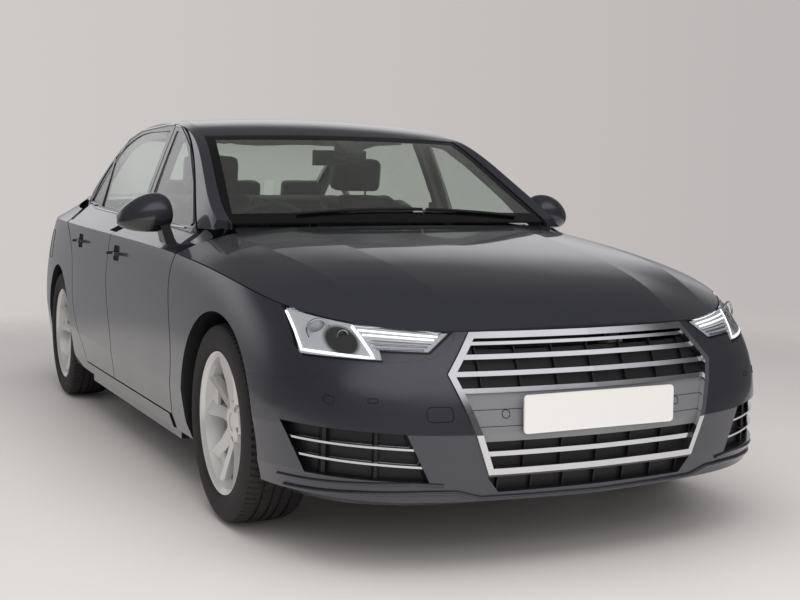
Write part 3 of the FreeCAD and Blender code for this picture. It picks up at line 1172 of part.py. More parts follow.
AXLE_ENDS = {
    "front_left": (FRONT_AXLE_X, FRONT_WHEEL_Y), "front_right": (FRONT_AXLE_X, -FRONT_WHEEL_Y),
    "rear_left": (REAR_AXLE_X, REAR_WHEEL_Y), "rear_right": (REAR_AXLE_X, -REAR_WHEEL_Y)}


def at_axle_end(shape, name):
    axle_x, wheel_y = AXLE_ENDS[name]
    placed = shape.copy() if wheel_y > 0 else to_right(shape)
    placed.translate(Vector(axle_x, wheel_y, WHEEL_RADIUS))
    return placed


# Floor, bulkheads, tunnel, crash rails and wheel liners
SHEET = w(0.02)
FLOOR_Z = h(0.130)
FLOOR_TOP_Z = h(0.146)
INNER_FLOOR_Y = SILL_INNER_Y - SEAT_GAP
BULKHEAD_X = station(1.150)
BULKHEAD_TOP_Z = h(0.615)
HEEL_X = station(1.90)
BOOT_FLOOR_Z = h(0.33)
BOOT_FLOOR_REAR_X = station(2.86)
BOOT_FLOOR_HALF = w(0.58)
TUNNEL_HALF = w(0.13)
TUNNEL_TOP = h(0.25)
CRASH_RAIL_HALF = w(0.045)
CRASH_RAIL_Y = w(0.44)
CRASH_RAIL_LOW_Z = h(0.26)
CRASH_RAIL_TOP_Z = h(0.33)
LINER_FOOT_Z = h(0.18)
RAIL_REACH = lower_form(BUMPER_DEPTH + SEAT_GAP)
floor = [
    block(BULKHEAD_X, HEEL_X, -INNER_FLOOR_Y, INNER_FLOOR_Y, FLOOR_Z, FLOOR_TOP_Z),
    block(BULKHEAD_X, BULKHEAD_X + SHEET, -INNER_FLOOR_Y, INNER_FLOOR_Y, FLOOR_Z, BULKHEAD_TOP_Z),
    block(HEEL_X, HEEL_X - SHEET, -INNER_FLOOR_Y, INNER_FLOOR_Y, FLOOR_Z, BOOT_FLOOR_Z),
    block(HEEL_X, BOOT_FLOOR_REAR_X, -BOOT_FLOOR_HALF, BOOT_FLOOR_HALF, BOOT_FLOOR_Z - SHEET, BOOT_FLOOR_Z),
    block(BULKHEAD_X, HEEL_X, -TUNNEL_HALF, TUNNEL_HALF, FLOOR_Z, TUNNEL_TOP)]
for y in (-CRASH_RAIL_Y, CRASH_RAIL_Y):
    crash_rail = block(
        BULKHEAD_X, NOSE_X, y - CRASH_RAIL_HALF, y + CRASH_RAIL_HALF, CRASH_RAIL_LOW_Z, CRASH_RAIL_TOP_Z)
    floor.append(crash_rail.common(RAIL_REACH))
tunnel_space = block(
    BULKHEAD_X * 2, HEEL_X * 2, -TUNNEL_HALF + SHEET, TUNNEL_HALF - SHEET, FLOOR_Z - SHEET, TUNNEL_TOP - SHEET)
floor_pan = joined(floor).cut(tunnel_space)
liners = []
for axle_x, inner_y in ((FRONT_AXLE_X, FRONT_LINER_Y), (REAR_AXLE_X, REAR_LINER_Y)):
    start = Vector(axle_x, inner_y, WHEEL_RADIUS)
    outer_arch = Part.makeCylinder(ARCH_RADIUS + LINER_WALL, HALF_WIDTH, start, ACROSS)
    inner_arch = Part.makeCylinder(ARCH_RADIUS, HALF_WIDTH * 2, start, ACROSS)
    upper = block(-REACH, REACH, 0, REACH, LINER_FOOT_Z, REACH)
    liners.append(largest(outer_arch.cut(inner_arch).common(upper).common(LINER_REACH)))

# Engine, exhaust and axles
SUBFRAME_LOW_Z = h(0.15)
SUBFRAME_TOP_Z = h(0.19)
SUBFRAME_FRONT_X = station(0.90)
SUBFRAME_REAR_X = station(1.10)
ENGINE_TOP_Z = h(0.52)
ENGINE_HALF_WIDTH = w(0.30)
ENGINE_FRONT_X = station(0.55)
ENGINE_REAR_X = station(1.02)
engine_block = block(
    ENGINE_REAR_X, ENGINE_FRONT_X, -ENGINE_HALF_WIDTH, ENGINE_HALF_WIDTH, SUBFRAME_TOP_Z + SEAT_GAP, ENGINE_TOP_Z)
EXHAUST_RADIUS = h(0.02)
EXHAUST_Z = h(0.115)
EXHAUST_FRONT_X = station(1.05)
EXHAUST_REAR_X = station(2.60)
SILENCER_FRONT_X = station(2.55)
SILENCER_REAR_X = station(2.82)
SILENCER_HALF = w(0.40)
SILENCER_LOW_Z = h(0.105)
SILENCER_TOP_Z = h(0.20)
SILENCER_HANGER_X = station(2.665)
HANGER_HALF = w(0.02)
HANGER_REACH = w(0.17)
exhaust_parts = [
    rod(Vector(EXHAUST_FRONT_X, 0, EXHAUST_Z), Vector(EXHAUST_REAR_X, 0, EXHAUST_Z), EXHAUST_RADIUS),
    block(SILENCER_FRONT_X, SILENCER_REAR_X, -SILENCER_HALF, SILENCER_HALF, SILENCER_LOW_Z, SILENCER_TOP_Z),
    block(SILENCER_HANGER_X - HANGER_HALF, SILENCER_HANGER_X + HANGER_HALF, -HANGER_HALF, HANGER_HALF,
          SILENCER_LOW_Z, BOOT_FLOOR_Z - SHEET - SEAT_GAP)]
EXHAUST_HANGER_SHARES = (1.20, 1.80)
for hanger_share in EXHAUST_HANGER_SHARES:
    hanger_x = station(hanger_share)
    exhaust_parts.append(block(
        hanger_x - HANGER_HALF, hanger_x + HANGER_HALF, -HANGER_REACH, HANGER_REACH, EXHAUST_Z, FLOOR_Z - SEAT_GAP))
exhaust = joined(exhaust_parts)
REAR_AXLE_INSET = w(0.04)
AXLE_END_Y = REAR_WHEEL_Y - REAR_AXLE_INSET
ARM_HALF_WIDTH = w(0.03)
REAR_ARM_LOW_Z = h(0.21)
REAR_ARM_TOP_Z = h(0.25)
REAR_ARM_Y = w(0.50)
rear_axle_parts = [rod(
    Vector(REAR_AXLE_X, -AXLE_END_Y, WHEEL_RADIUS), Vector(REAR_AXLE_X, AXLE_END_Y, WHEEL_RADIUS), AXLE_RADIUS)]
for y in (REAR_ARM_Y, -REAR_ARM_Y):
    rear_axle_parts.append(block(
        HEEL_X - SHEET - SEAT_GAP, REAR_AXLE_X, y - ARM_HALF_WIDTH, y + ARM_HALF_WIDTH, REAR_ARM_LOW_Z, REAR_ARM_TOP_Z))
rear_axle = joined(rear_axle_parts)
KNUCKLE_INSET = w(0.138)
KNUCKLE_INNER_Y = FRONT_WHEEL_Y - KNUCKLE_INSET
KNUCKLE_THICKNESS = w(0.03)
KNUCKLE_HALF_LENGTH = w(0.05)
KNUCKLE_LOW_Z = h(0.17)
KNUCKLE_TOP_Z = h(0.29)
STUB_CLEARANCE = w(0.003)
MOUNT_LOW_Z = h(0.16)
front_parts = [
    block(SUBFRAME_REAR_X, SUBFRAME_FRONT_X, -CRASH_RAIL_Y, CRASH_RAIL_Y, SUBFRAME_LOW_Z, SUBFRAME_TOP_Z),
    block(FRONT_AXLE_X - ARM_HALF_WIDTH, FRONT_AXLE_X + ARM_HALF_WIDTH, -KNUCKLE_INNER_Y - KNUCKLE_THICKNESS,
          KNUCKLE_INNER_Y + KNUCKLE_THICKNESS, SUBFRAME_LOW_Z, KNUCKLE_LOW_Z - SEAT_GAP)]
for y in (CRASH_RAIL_Y, -CRASH_RAIL_Y):
    front_parts.append(block(
        FRONT_AXLE_X - HANGER_HALF, FRONT_AXLE_X + HANGER_HALF, y - ARM_HALF_WIDTH, y + ARM_HALF_WIDTH,
        MOUNT_LOW_Z, CRASH_RAIL_LOW_Z - SEAT_GAP))
front_suspension = joined(front_parts)
carrier = block(
    FRONT_AXLE_X - KNUCKLE_HALF_LENGTH, FRONT_AXLE_X + KNUCKLE_HALF_LENGTH,
    KNUCKLE_INNER_Y, KNUCKLE_INNER_Y + KNUCKLE_THICKNESS, KNUCKLE_LOW_Z, KNUCKLE_TOP_Z)
stub_axle = rod(
    Vector(FRONT_AXLE_X, KNUCKLE_INNER_Y, WHEEL_RADIUS),
    Vector(FRONT_AXLE_X, FRONT_WHEEL_Y + DISC_FACE_Y - STUB_CLEARANCE, WHEEL_RADIUS), AXLE_RADIUS)
knuckle = joined([carrier, stub_axle])

# Seats, dashboard and controls
SEAT_HALF_WIDTH = w(0.26)
SEAT_BASE_HALF_LENGTH = w(0.20)
SEAT_BASE_HALF_WIDTH = w(0.18)
SEAT_BASE_TOP_Z = h(0.25)
HEAD_HALF_WIDTH = w(0.13)
POST_HALF_WIDTH = w(0.02)
SEAT_Y = w(0.40)
# Outlines in side view, from the front seat's middle: shares of the half width forward, and of the height
CUSHION_SHARES = [(0.30, 0.30), (0.27, 0.355), (0.05, 0.350), (-0.24, 0.325), (-0.27, 0.25), (0.0, 0.235), (0.27, 0.24)]
BACK_SHARES = [
    (-0.22, 0.34), (-0.26, 0.50), (-0.31, 0.66), (-0.335, 0.735), (-0.395, 0.735), (-0.40, 0.62), (-0.36, 0.42),
    (-0.29, 0.30)]
HEAD_SHARES = [(-0.30, 0.77), (-0.31, 0.85), (-0.36, 0.875), (-0.41, 0.855), (-0.40, 0.77), (-0.35, 0.755)]
HEAD_POST_SHARES = [(-0.36, 0.71), (-0.345, 0.71), (-0.345, 0.80), (-0.36, 0.80)]


def seat_profile(shares, x, smooth):
    """A closed outline in side view, smooth or with corners."""
    points = [Vector(x + w(along), 0, h(up)) for along, up in shares]
    if not smooth:
        return Part.Face(Part.makePolygon(points + points[:1]))
    curve = Part.BSplineCurve()
    curve.interpolate(points, PeriodicFlag=True)
    return Part.Face(Part.Wire(curve.toShape()))


def across(face, y, half_width):
    return through(face, ACROSS, y - half_width, y + half_width)


def seat(x, y):
    base = block(
        x - SEAT_BASE_HALF_LENGTH, x + SEAT_BASE_HALF_LENGTH, y - SEAT_BASE_HALF_WIDTH, y + SEAT_BASE_HALF_WIDTH,
        FLOOR_TOP_Z + SEAT_GAP, SEAT_BASE_TOP_Z)
    return joined([
        base, across(seat_profile(CUSHION_SHARES, x, True), y, SEAT_HALF_WIDTH),
        across(seat_profile(BACK_SHARES, x, True), y, SEAT_HALF_WIDTH),
        across(seat_profile(HEAD_SHARES, x, True), y, HEAD_HALF_WIDTH),
        across(seat_profile(HEAD_POST_SHARES, x, False), y, POST_HALF_WIDTH)])


FRONT_SEAT_X = station(1.52)
front_seats = group([seat(FRONT_SEAT_X, SEAT_Y), seat(FRONT_SEAT_X, -SEAT_Y)])
BENCH_HALF_WIDTH = w(0.62)
BENCH_LENGTH = w(0.60)
BENCH_TOP_Z = h(0.36)
BENCH_BACK_THICKNESS = w(0.14)
BENCH_BACK_LOW_Z = h(0.34)
BENCH_BACK_TOP_Z = h(0.70)
over_tunnel = block(-REACH, REACH, -TUNNEL_HALF - SEAT_GAP, TUNNEL_HALF + SEAT_GAP, 0, TUNNEL_TOP + SEAT_GAP)
bench_cushion = block(
    HEEL_X + SEAT_GAP, HEEL_X + BENCH_LENGTH, -BENCH_HALF_WIDTH, BENCH_HALF_WIDTH, FLOOR_TOP_Z + SEAT_GAP, BENCH_TOP_Z)
bench_back = block(
    HEEL_X + SEAT_GAP, HEEL_X + BENCH_BACK_THICKNESS, -BENCH_HALF_WIDTH, BENCH_HALF_WIDTH,
    BENCH_BACK_LOW_Z, BENCH_BACK_TOP_Z)
rear_bench = joined([bench_cushion.cut(over_tunnel), bench_back])
WHEEL_TILT = Vector(1, 0, -0.45)
WHEEL_TILT.normalize()
STEERING_CENTRE = Vector(station(1.36), -SEAT_Y, h(0.60))
STEERING_RADIUS = h(0.13)
STEERING_GRIP = h(0.011)
HUB_FRONT = 14.0
HUB_BACK = 30.0
BOSS_RADIUS = 62.0
STEERING_SPOKE = 9.0
COLUMN_RADIUS = 26.0
COLUMN_LENGTH = 300.0
COLUMN_START = STEERING_CENTRE + WHEEL_TILT * (HUB_BACK + SEAT_GAP)
COLUMN_END = STEERING_CENTRE + WHEEL_TILT * COLUMN_LENGTH
DASHBOARD_HALF_WIDTH = w(0.66)
CONSOLE_HALF_WIDTH = w(0.12)
CONSOLE_FRONT_X = station(1.27)
CONSOLE_REAR_X = station(1.50)
CONSOLE_TOP_Z = h(0.46)
dashboard_face = side_outline(
    [(1.1501, 0.460), (1.1501, 0.598)], [(1.1501, 0.598), (1.192, 0.600)], [(1.192, 0.600), (1.193, 0.636)],
    [(1.193, 0.636), (1.235, 0.640), (1.262, 0.628), (1.279, 0.600), (1.281, 0.545), (1.268, 0.460)],
    [(1.268, 0.460), (1.1501, 0.460)])
dashboard = joined([
    across(dashboard_face, 0, DASHBOARD_HALF_WIDTH),
    block(CONSOLE_FRONT_X, CONSOLE_REAR_X, -CONSOLE_HALF_WIDTH, CONSOLE_HALF_WIDTH, TUNNEL_TOP + SEAT_GAP, CONSOLE_TOP_Z),
    block(CONSOLE_FRONT_X, BULKHEAD_X - SEAT_GAP, -CONSOLE_HALF_WIDTH, CONSOLE_HALF_WIDTH,
          TUNNEL_TOP + SEAT_GAP, CONSOLE_TOP_Z),
    rod(COLUMN_START, COLUMN_END, COLUMN_RADIUS)])
SHELF_REAR_X = station(2.20)
SHELF_HALF_WIDTH = w(0.60)
SHELF_Z = h(0.68)
SHELF_TOP_Z = h(0.69)
parcel_shelf = block(HEEL_X - SEAT_GAP, SHELF_REAR_X, -SHELF_HALF_WIDTH, SHELF_HALF_WIDTH, SHELF_Z, SHELF_TOP_Z)
# The interior mirror's stalk, arm and housing: front and rear station, half width, and lower and upper height
STALK_SHARES = (1.335, 1.382, 0.045, 0.850, 1.0)
STALK_ARM_SHARES = (1.380, 1.400, 0.020, 0.852, 0.868)
MIRROR_CASE_SHARES = (1.392, 1.402, 0.130, 0.835, 0.880)


def centre_block(shares):
    front, rear, half_width, low, high = shares
    return block(station(front), station(rear), -w(half_width), w(half_width), h(low), h(high))


interior_mirror = joined([
    centre_block(MIRROR_CASE_SHARES), centre_block(STALK_ARM_SHARES),
    centre_block(STALK_SHARES).common(greenhouse_form(GLASS_SINK + GLASS_THICKNESS + SEAT_GAP))])

WIPER_RADIUS = w(0.007)
WIPER_RISE = w(0.08)
WIPER_X = SCREEN_BASE_X - WIPER_RISE
WIPER_SAMPLES = 9
WIPER_END_SHARES = [(-0.45, 0.12), (0.14, 0.58)]


def wiper(y0, y1):
    """A blade that follows the glass at a small gap."""
    points = []
    for i in range(WIPER_SAMPLES):
        y = y0 + (y1 - y0) * i / (WIPER_SAMPLES - 1)
        z = top_at(windscreen, WIPER_X, y)
        fall = (top_at(windscreen, WIPER_X - WIPER_RADIUS, y) - z) / WIPER_RADIUS
        lift = (WIPER_RADIUS + SEAT_GAP * 2) * math.sqrt(1 + fall * fall)
        points.append(Vector(WIPER_X, y, z + lift))
    path = Part.Wire(run_edges(points))
    start = points[0]
    circle = Part.Wire(Part.makeCircle(WIPER_RADIUS, start, points[1] - points[0]))
    return path.makePipeShell([circle], True, False)


wipers = group([wiper(w(start), w(end)) for start, end in WIPER_END_SHARES])


def steering_spoke(direction):
    return rod(
        STEERING_CENTRE + direction * BOSS_RADIUS * HALF, STEERING_CENTRE + direction * STEERING_RADIUS, STEERING_SPOKE)


wheel_up = WHEEL_TILT.cross(ACROSS)
wheel_down = wheel_up if wheel_up.z < 0 else wheel_up * -1
steering_wheel = joined([
    Part.Solid(Part.makeTorus(STEERING_RADIUS, STEERING_GRIP, STEERING_CENTRE, WHEEL_TILT)),
    rod(STEERING_CENTRE - WHEEL_TILT * HUB_FRONT, STEERING_CENTRE + WHEEL_TILT * HUB_BACK, BOSS_RADIUS),
    steering_spoke(ACROSS), steering_spoke(ACROSS * -1), steering_spoke(wheel_down)])
PLATE_HALF_WIDTH = w(0.2823)
PLATE_HEIGHT = h(0.0778)
PLATE_THICKNESS = w(0.006)
PLATE_LOW_Z = h(0.279)
plate_back = block(0, REACH, -PLATE_THICKNESS, PLATE_THICKNESS, PLATE_LOW_Z, PLATE_LOW_Z + PLATE_HEIGHT)
PLATE_BACK_X = grille_mesh.common(plate_back).BoundBox.XMax + SEAT_GAP
front_plate = block(
    PLATE_BACK_X, PLATE_BACK_X + PLATE_THICKNESS, -PLATE_HALF_WIDTH, PLATE_HALF_WIDTH,
    PLATE_LOW_Z, PLATE_LOW_Z + PLATE_HEIGHT)

# Door mirrors. Each section of the housing: its y, its front and rear x, and its lower and upper z
MIRROR_SECTION_SHARES = [
    (0.884, 1.2890, 1.3260, 0.672, 0.722), (0.902, 1.2830, 1.3285, 0.655, 0.744), (0.945, 1.2790, 1.3300, 0.648, 0.753),
    (0.993, 1.2815, 1.3310, 0.648, 0.747), (1.037, 1.2900, 1.3320, 0.651, 0.732), (1.075, 1.3030, 1.3330, 0.659, 0.711),
    (1.094, 1.3170, 1.3335, 0.669, 0.694)]
# Points round a section, as shares of its half length and half height
MIRROR_ROUND_SHARES = [
    (-1, 0), (-0.88, 0.86), (-0.2, 1), (0.62, 0.74), (1, -0.15), (0.62, -0.85), (-0.2, -1), (-0.88, -0.86)]
# The foot's corners at its lower and upper end: station, share of the half width and share of the height
FOOT_LOW_SHARES = [(1.2600, 0.885, 0.600), (1.2950, 0.885, 0.600), (1.2950, 0.930, 0.600), (1.2600, 0.930, 0.600)]
FOOT_TOP_SHARES = [(1.2900, 0.905, 0.680), (1.3120, 0.905, 0.680), (1.3120, 0.945, 0.680), (1.2900, 0.945, 0.680)]
MIRROR_REAR_X = station(1.3265)


def mirror_section(y_share, front, rear, low, high):
    """A closed smooth outline of the housing on a plane across the car."""
    middle = (station(rear) + station(front)) * HALF
    reach = (station(front) - station(rear)) * HALF
    centre = (h(low) + h(high)) * HALF
    rise = (h(high) - h(low)) * HALF
    points = [Vector(middle + a * reach, w(y_share), centre + b * rise) for a, b in MIRROR_ROUND_SHARES]
    curve = Part.BSplineCurve()
    curve.interpolate(points, PeriodicFlag=True)
    return Part.Wire(curve.toShape())


housing = Part.makeLoft([mirror_section(*section) for section in MIRROR_SECTION_SHARES], True, False)
housing = housing.cut(block(MIRROR_REAR_X, -REACH, 0, REACH, 0, REACH))
foot_rings = [Part.makePolygon(line(shares + shares[:1])) for shares in (FOOT_LOW_SHARES, FOOT_TOP_SHARES)]
mirror_foot = Part.makeLoft(foot_rings, True, True)
mirror = largest(joined([housing, mirror_foot]).cut(lower_form(-SEAT_GAP)))

nodes = {
    "body_side_left": body_side, "body_side_right": to_right(body_side), "roof_panel": roof_panel,
    "floor_pan": floor_pan, "wheel_liners": group([x for piece in liners for x in both(piece)]),
    "wing_left": wing, "wing_right": to_right(wing), "front_bumper": front_bumper,
    "grille_frame": grille_frame, "grille_mesh": grille_mesh, "fog_grilles": group(both(fog_grille) + [intake_grille]),
    "headlamps": group(both(headlamp)), "headlamp_lenses": group(both(headlamp_lens)),
    "engine_block": engine_block, "windscreen": windscreen, "rear_window": rear_window,
    "rear_bumper": rear_bumper, "tail_lamps": group(both(tail_lamp)), "front_seats": front_seats,
    "rear_bench": rear_bench, "dashboard": dashboard, "parcel_shelf": parcel_shelf,
    "interior_mirror": interior_mirror, "exhaust": exhaust, "rear_axle": rear_axle,
    "front_suspension": front_suspension, "wipers": wipers, "front_plate": front_plate,
    "door_front_left": front_door, "door_front_right": to_right(front_door),
    "door_rear_left": rear_door, "door_rear_right": to_right(rear_door),
    "glass_front_left": front_glass, "glass_front_right": to_right(front_glass),
    "glass_rear_left": rear_glass, "glass_rear_right": to_right(rear_glass),
    "mirror_left": mirror, "mirror_right": to_right(mirror),
    "bonnet": bonnet, "boot_lid": boot_lid, "boot_lamps": group(both(boot_lamp)),
    "knuckle_left": knuckle, "knuckle_right": to_right(knuckle), "steering_wheel": steering_wheel}
for name in AXLE_ENDS:
    nodes["tyre_" + name] = at_axle_end(tyre, name)
    nodes["rim_" + name] = at_axle_end(rim, name)

os.makedirs("parts", exist_ok=True)
for name, shape in nodes.items():
    if not shape.isValid():
        print("not valid", name)
    shape.exportStep("parts/%s.step" % name)
print(len(nodes), "nodes")
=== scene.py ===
import bpy
import bmesh
import math
from mathutils import Matrix, Vector
from mathutils.bvhtree import BVHTree


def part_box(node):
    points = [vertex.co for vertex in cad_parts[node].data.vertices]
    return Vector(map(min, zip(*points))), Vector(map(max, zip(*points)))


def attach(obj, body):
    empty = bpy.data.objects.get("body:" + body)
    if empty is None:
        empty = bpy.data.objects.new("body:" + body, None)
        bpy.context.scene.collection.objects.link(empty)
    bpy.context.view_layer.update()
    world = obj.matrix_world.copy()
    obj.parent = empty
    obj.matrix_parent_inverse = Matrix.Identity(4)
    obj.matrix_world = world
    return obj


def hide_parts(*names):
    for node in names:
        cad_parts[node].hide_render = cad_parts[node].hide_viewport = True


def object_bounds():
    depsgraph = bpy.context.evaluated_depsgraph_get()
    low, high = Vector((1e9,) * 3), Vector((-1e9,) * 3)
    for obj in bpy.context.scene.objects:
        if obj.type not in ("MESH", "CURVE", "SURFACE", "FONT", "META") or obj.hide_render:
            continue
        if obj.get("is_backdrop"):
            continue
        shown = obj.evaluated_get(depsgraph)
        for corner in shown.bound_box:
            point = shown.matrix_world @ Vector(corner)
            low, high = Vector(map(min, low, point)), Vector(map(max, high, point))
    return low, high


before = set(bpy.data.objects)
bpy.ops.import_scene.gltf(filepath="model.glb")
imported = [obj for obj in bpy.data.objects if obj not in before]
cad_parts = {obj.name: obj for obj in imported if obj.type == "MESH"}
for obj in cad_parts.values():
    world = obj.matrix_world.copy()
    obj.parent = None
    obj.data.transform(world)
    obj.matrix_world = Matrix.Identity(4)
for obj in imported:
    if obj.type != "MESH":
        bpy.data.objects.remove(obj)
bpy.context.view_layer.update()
scene = bpy.context.scene

# Camera: it stands ahead of the car's right front corner, a little above the bonnet, and looks down
# along the car. Its place and lens follow from the wheels, the plate and the roof in the photograph.
camera_data = bpy.data.cameras.new("camera")
camera_data.sensor_width = 36
camera_data.lens = 55.58
camera = bpy.data.objects.new("camera", camera_data)
scene.collection.objects.link(camera)
camera.matrix_world = (
    Matrix.Translation((5.325, -2.0592, 1.0766))
    @ Matrix.Rotation(math.radians(64.631), 4, "Z")
    @ Matrix.Rotation(math.radians(85.063), 4, "X")
    @ Matrix.Rotation(math.radians(0.301), 4, "Z"))
scene.camera = camera

# Studio: a pale painted floor that fades into a pale wall some metres from the car. The light comes from an
# even sky and from two soft panels, one overhead and one ahead of the car.
scene.view_settings.view_transform = "Standard"


def linear(colour):
    """An sRGB hex colour as linear red, green, blue and alpha."""
    parts = [int(colour[i:i + 2], 16) / 255 for i in (1, 3, 5)]
    return [c / 12.92 if c <= 0.04045 else ((c + 0.055) / 1.055) ** 2.4 for c in parts] + [1.0]


def feed(tree, node, inputs):
    """Gives a node's inputs their values, or links them from an output, or from the first one of a node."""
    for name, value in inputs.items():
        if isinstance(value, bpy.types.Node):
            value = next(output for output in value.outputs if output.enabled)
        if isinstance(value, bpy.types.NodeSocket):
            tree.links.new(value, node.inputs[name])
        else:
            node.inputs[name].default_value = value


def add_node(tree, kind, inputs, **settings):
    """Adds one node with its settings, values and links."""
    node = tree.nodes.new(kind)
    for name, value in settings.items():
        setattr(node, name, value)
    feed(tree, node, inputs)
    return node


def new_material(name, **inputs):
    """A material with the values of its shader, and Object coordinates for its patterns."""
    material = bpy.data.materials.new(name)
    material.use_nodes = True
    tree = material.node_tree
    shader = tree.nodes["Principled BSDF"]
    feed(tree, shader, {key.replace("_", " "): value for key, value in inputs.items()})
    place = add_node(tree, "ShaderNodeTexCoord", {}).outputs["Object"]
    return material, tree, shader, place


world = bpy.data.worlds.new("studio")
scene.world = world
world.use_nodes = True
# The sky is smooth, so Cycles finds its light without a map of it
world.cycles.sampling_method = "NONE"
sky = world.node_tree
sky.nodes.clear()
direction = add_node(sky, "ShaderNodeTexCoord", {}).outputs["Generated"]
heading = add_node(sky, "ShaderNodeSeparateXYZ", {"Vector": direction}).outputs
height = heading["Z"]
# What the camera sees: a warm grey wall that darkens towards the right, and the floor's colour below it
RIGHT_OF_VIEW = (0.428, 0.904, 0.0)
across = add_node(sky, "ShaderNodeVectorMath", {0: direction, 1: RIGHT_OF_VIEW}, operation="DOT_PRODUCT")
rightwards = add_node(sky, "ShaderNodeMapRange", {"Value": across, "From Min": -0.33, "From Max": 0.33})
wall = add_node(sky, "ShaderNodeMix", {
    "Factor": rightwards, 6: linear("#cfcbc8"), 7: linear("#bcb7b6")}, data_type="RGBA")
above_floor = add_node(sky, "ShaderNodeMapRange", {"Value": height, "From Min": -0.13, "From Max": -0.085})
backdrop = add_node(sky, "ShaderNodeMix", {
    "Factor": above_floor, 6: linear("#c6c2bf"), 7: wall}, data_type="RGBA")
shown = add_node(sky, "ShaderNodeBackground", {"Color": backdrop, "Strength": 1.0})
# What lights the car: an even glow, stronger overhead
overhead = add_node(sky, "ShaderNodeMapRange", {
    "Value": height, "From Min": 0.15, "From Max": 0.9, "To Min": 0.62, "To Max": 1.15})
light = add_node(sky, "ShaderNodeBackground", {"Color": linear("#e9e8ea"), "Strength": overhead})
# What the bodywork mirrors: a wall behind the car, lit most along its upper edge, a soft light high in front,
# and a dark room between them
DARK_ROOM = 0.11
behind, lit_edge, wall_end, ahead, raised = [
    add_node(sky, "ShaderNodeMapRange", {
        "Value": value, "From Min": low, "From Max": high, "To Min": first, "To Max": last},
        interpolation_type="SMOOTHSTEP")
    for value, low, high, first, last in (
        (heading["X"], -0.5, -0.82, 0.0, 1.0), (height, 0.02, 0.2, 0.24, 0.85),
        (height, 0.27, 0.46, 1.0, 0.0), (heading["X"], 0.3, 0.6, 0.0, 1.0), (height, 0.3, 0.5, 0.0, 1.0))]
wall_part = add_node(sky, "ShaderNodeMath", {0: lit_edge, 1: wall_end}, operation="MULTIPLY")
wall_part = add_node(sky, "ShaderNodeMath", {0: wall_part, 1: behind}, operation="MULTIPLY")
front_part = add_node(sky, "ShaderNodeMath", {0: ahead, 1: raised}, operation="MULTIPLY")
both = add_node(sky, "ShaderNodeMath", {0: front_part, 1: 0.9, 2: wall_part}, operation="MULTIPLY_ADD")
mirrored = add_node(sky, "ShaderNodeMath", {0: both, 1: DARK_ROOM}, operation="ADD")
room = add_node(sky, "ShaderNodeBackground", {"Color": linear("#ecebee"), "Strength": mirrored})
rays = add_node(sky, "ShaderNodeLightPath", {}).outputs
seen = add_node(sky, "ShaderNodeMath", {
    0: rays["Is Camera Ray"], 1: rays["Is Transmission Ray"]}, operation="MAXIMUM")
lit = add_node(sky, "ShaderNodeMixShader", {0: rays["Is Glossy Ray"], 1: light, 2: room})
choice = add_node(sky, "ShaderNodeMixShader", {0: seen, 1: lit, 2: shown})
add_node(sky, "ShaderNodeOutputWorld", {"Surface": choice})

# Each soft panel: its power in watts, its place, and its tilt and turn in degrees. Neither shows in the paint
# or through the glass.
for name, power, place, tilt, turn in (
        ("softbox", 150, (2.2, -0.8, 4.2), 0, 0), ("front_light", 230, (8.0, -1.2, 2.4), 72, -6)):
    panel = bpy.data.lights.new(name, "AREA")
    panel.shape = "RECTANGLE"
    panel.size = 6.0
    panel.size_y = 4.0
    panel.energy = power
    lamp = bpy.data.objects.new(name, panel)
    lamp.location = place
    lamp.rotation_euler = (0, math.radians(tilt), math.radians(turn))
    lamp.visible_glossy = False
    lamp.visible_transmission = False
    scene.collection.objects.link(lamp)

bpy.ops.object.select_all(action="DESELECT")
bpy.ops.mesh.primitive_circle_add(vertices=96, radius=6.5, fill_type="NGON", location=(0, 0, -0.001))
floor = bpy.context.object
floor.name = "studio_floor"
# Matt floor paint, rolled: an even pale grey that only the contact shadows darken
floor_paint, tree, shader, place = new_material("rolled_floor_paint", Roughness=0.55)
mottle = add_node(tree, "ShaderNodeTexNoise", {"Vector": place, "Scale": 1.2, "Detail": 3.0})
colour = add_node(tree, "ShaderNodeMix", {
    "Factor": mottle, 6: linear("#c2bebb"), 7: linear("#c9c5c2")}, data_type="RGBA")
span = add_node(tree, "ShaderNodeVectorMath", {0: place}, operation="LENGTH")
fade = add_node(tree, "ShaderNodeMapRange", {
    "Value": span, "From Min": 3.6, "From Max": 6.0, "To Min": 1.0, "To Max": 0.0},
    interpolation_type="SMOOTHSTEP")
feed(tree, shader, {"Base Color": colour, "Alpha": fade})
floor.data.materials.append(floor_paint)
floor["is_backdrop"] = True

# Painted body: pressed steel and aluminium panels, sprayed dark grey metallic under clear lacquer.
# The panels are the CAD nodes themselves, and the bumpers are moulded plastic in the same paint.
PAINTED = [
    "body_side_left", "body_side_right", "roof_panel", "wing_left", "wing_right", "front_bumper", "bonnet",
    "rear_bumper", "boot_lid"]
# Metallic paint: aluminium flakes 0.3 mm wide, drawn at 1.2 mm so that they show, in a dark grey base
paint, tree, shader, place = new_material(
    "lacquered_metallic_paint", Metallic=0.75, Roughness=0.36, Coat_Weight=1.0, Coat_Roughness=0.03)
flakes = add_node(tree, "ShaderNodeTexVoronoi", {"Vector": place, "Scale": 850.0})
colour = add_node(tree, "ShaderNodeMix", {
    "Factor": flakes.outputs["Color"], 6: linear("#3e3f45"), 7: linear("#4c4d54")}, data_type="RGBA")
cloudy = add_node(tree, "ShaderNodeTexNoise", {"Vector": place, "Scale": 3.0, "Detail": 2.0})
rough = add_node(tree, "ShaderNodeMapRange", {"Value": cloudy, "To Min": 0.33, "To Max": 0.39})
feed(tree, shader, {"Base Color": colour, "Roughness": rough})


def dress(names, material):
    """Gives CAD nodes their finish."""
    for name in names:
        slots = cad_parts[name].data.materials
        slots.clear()
        slots.append(material)


dress(PAINTED, paint)

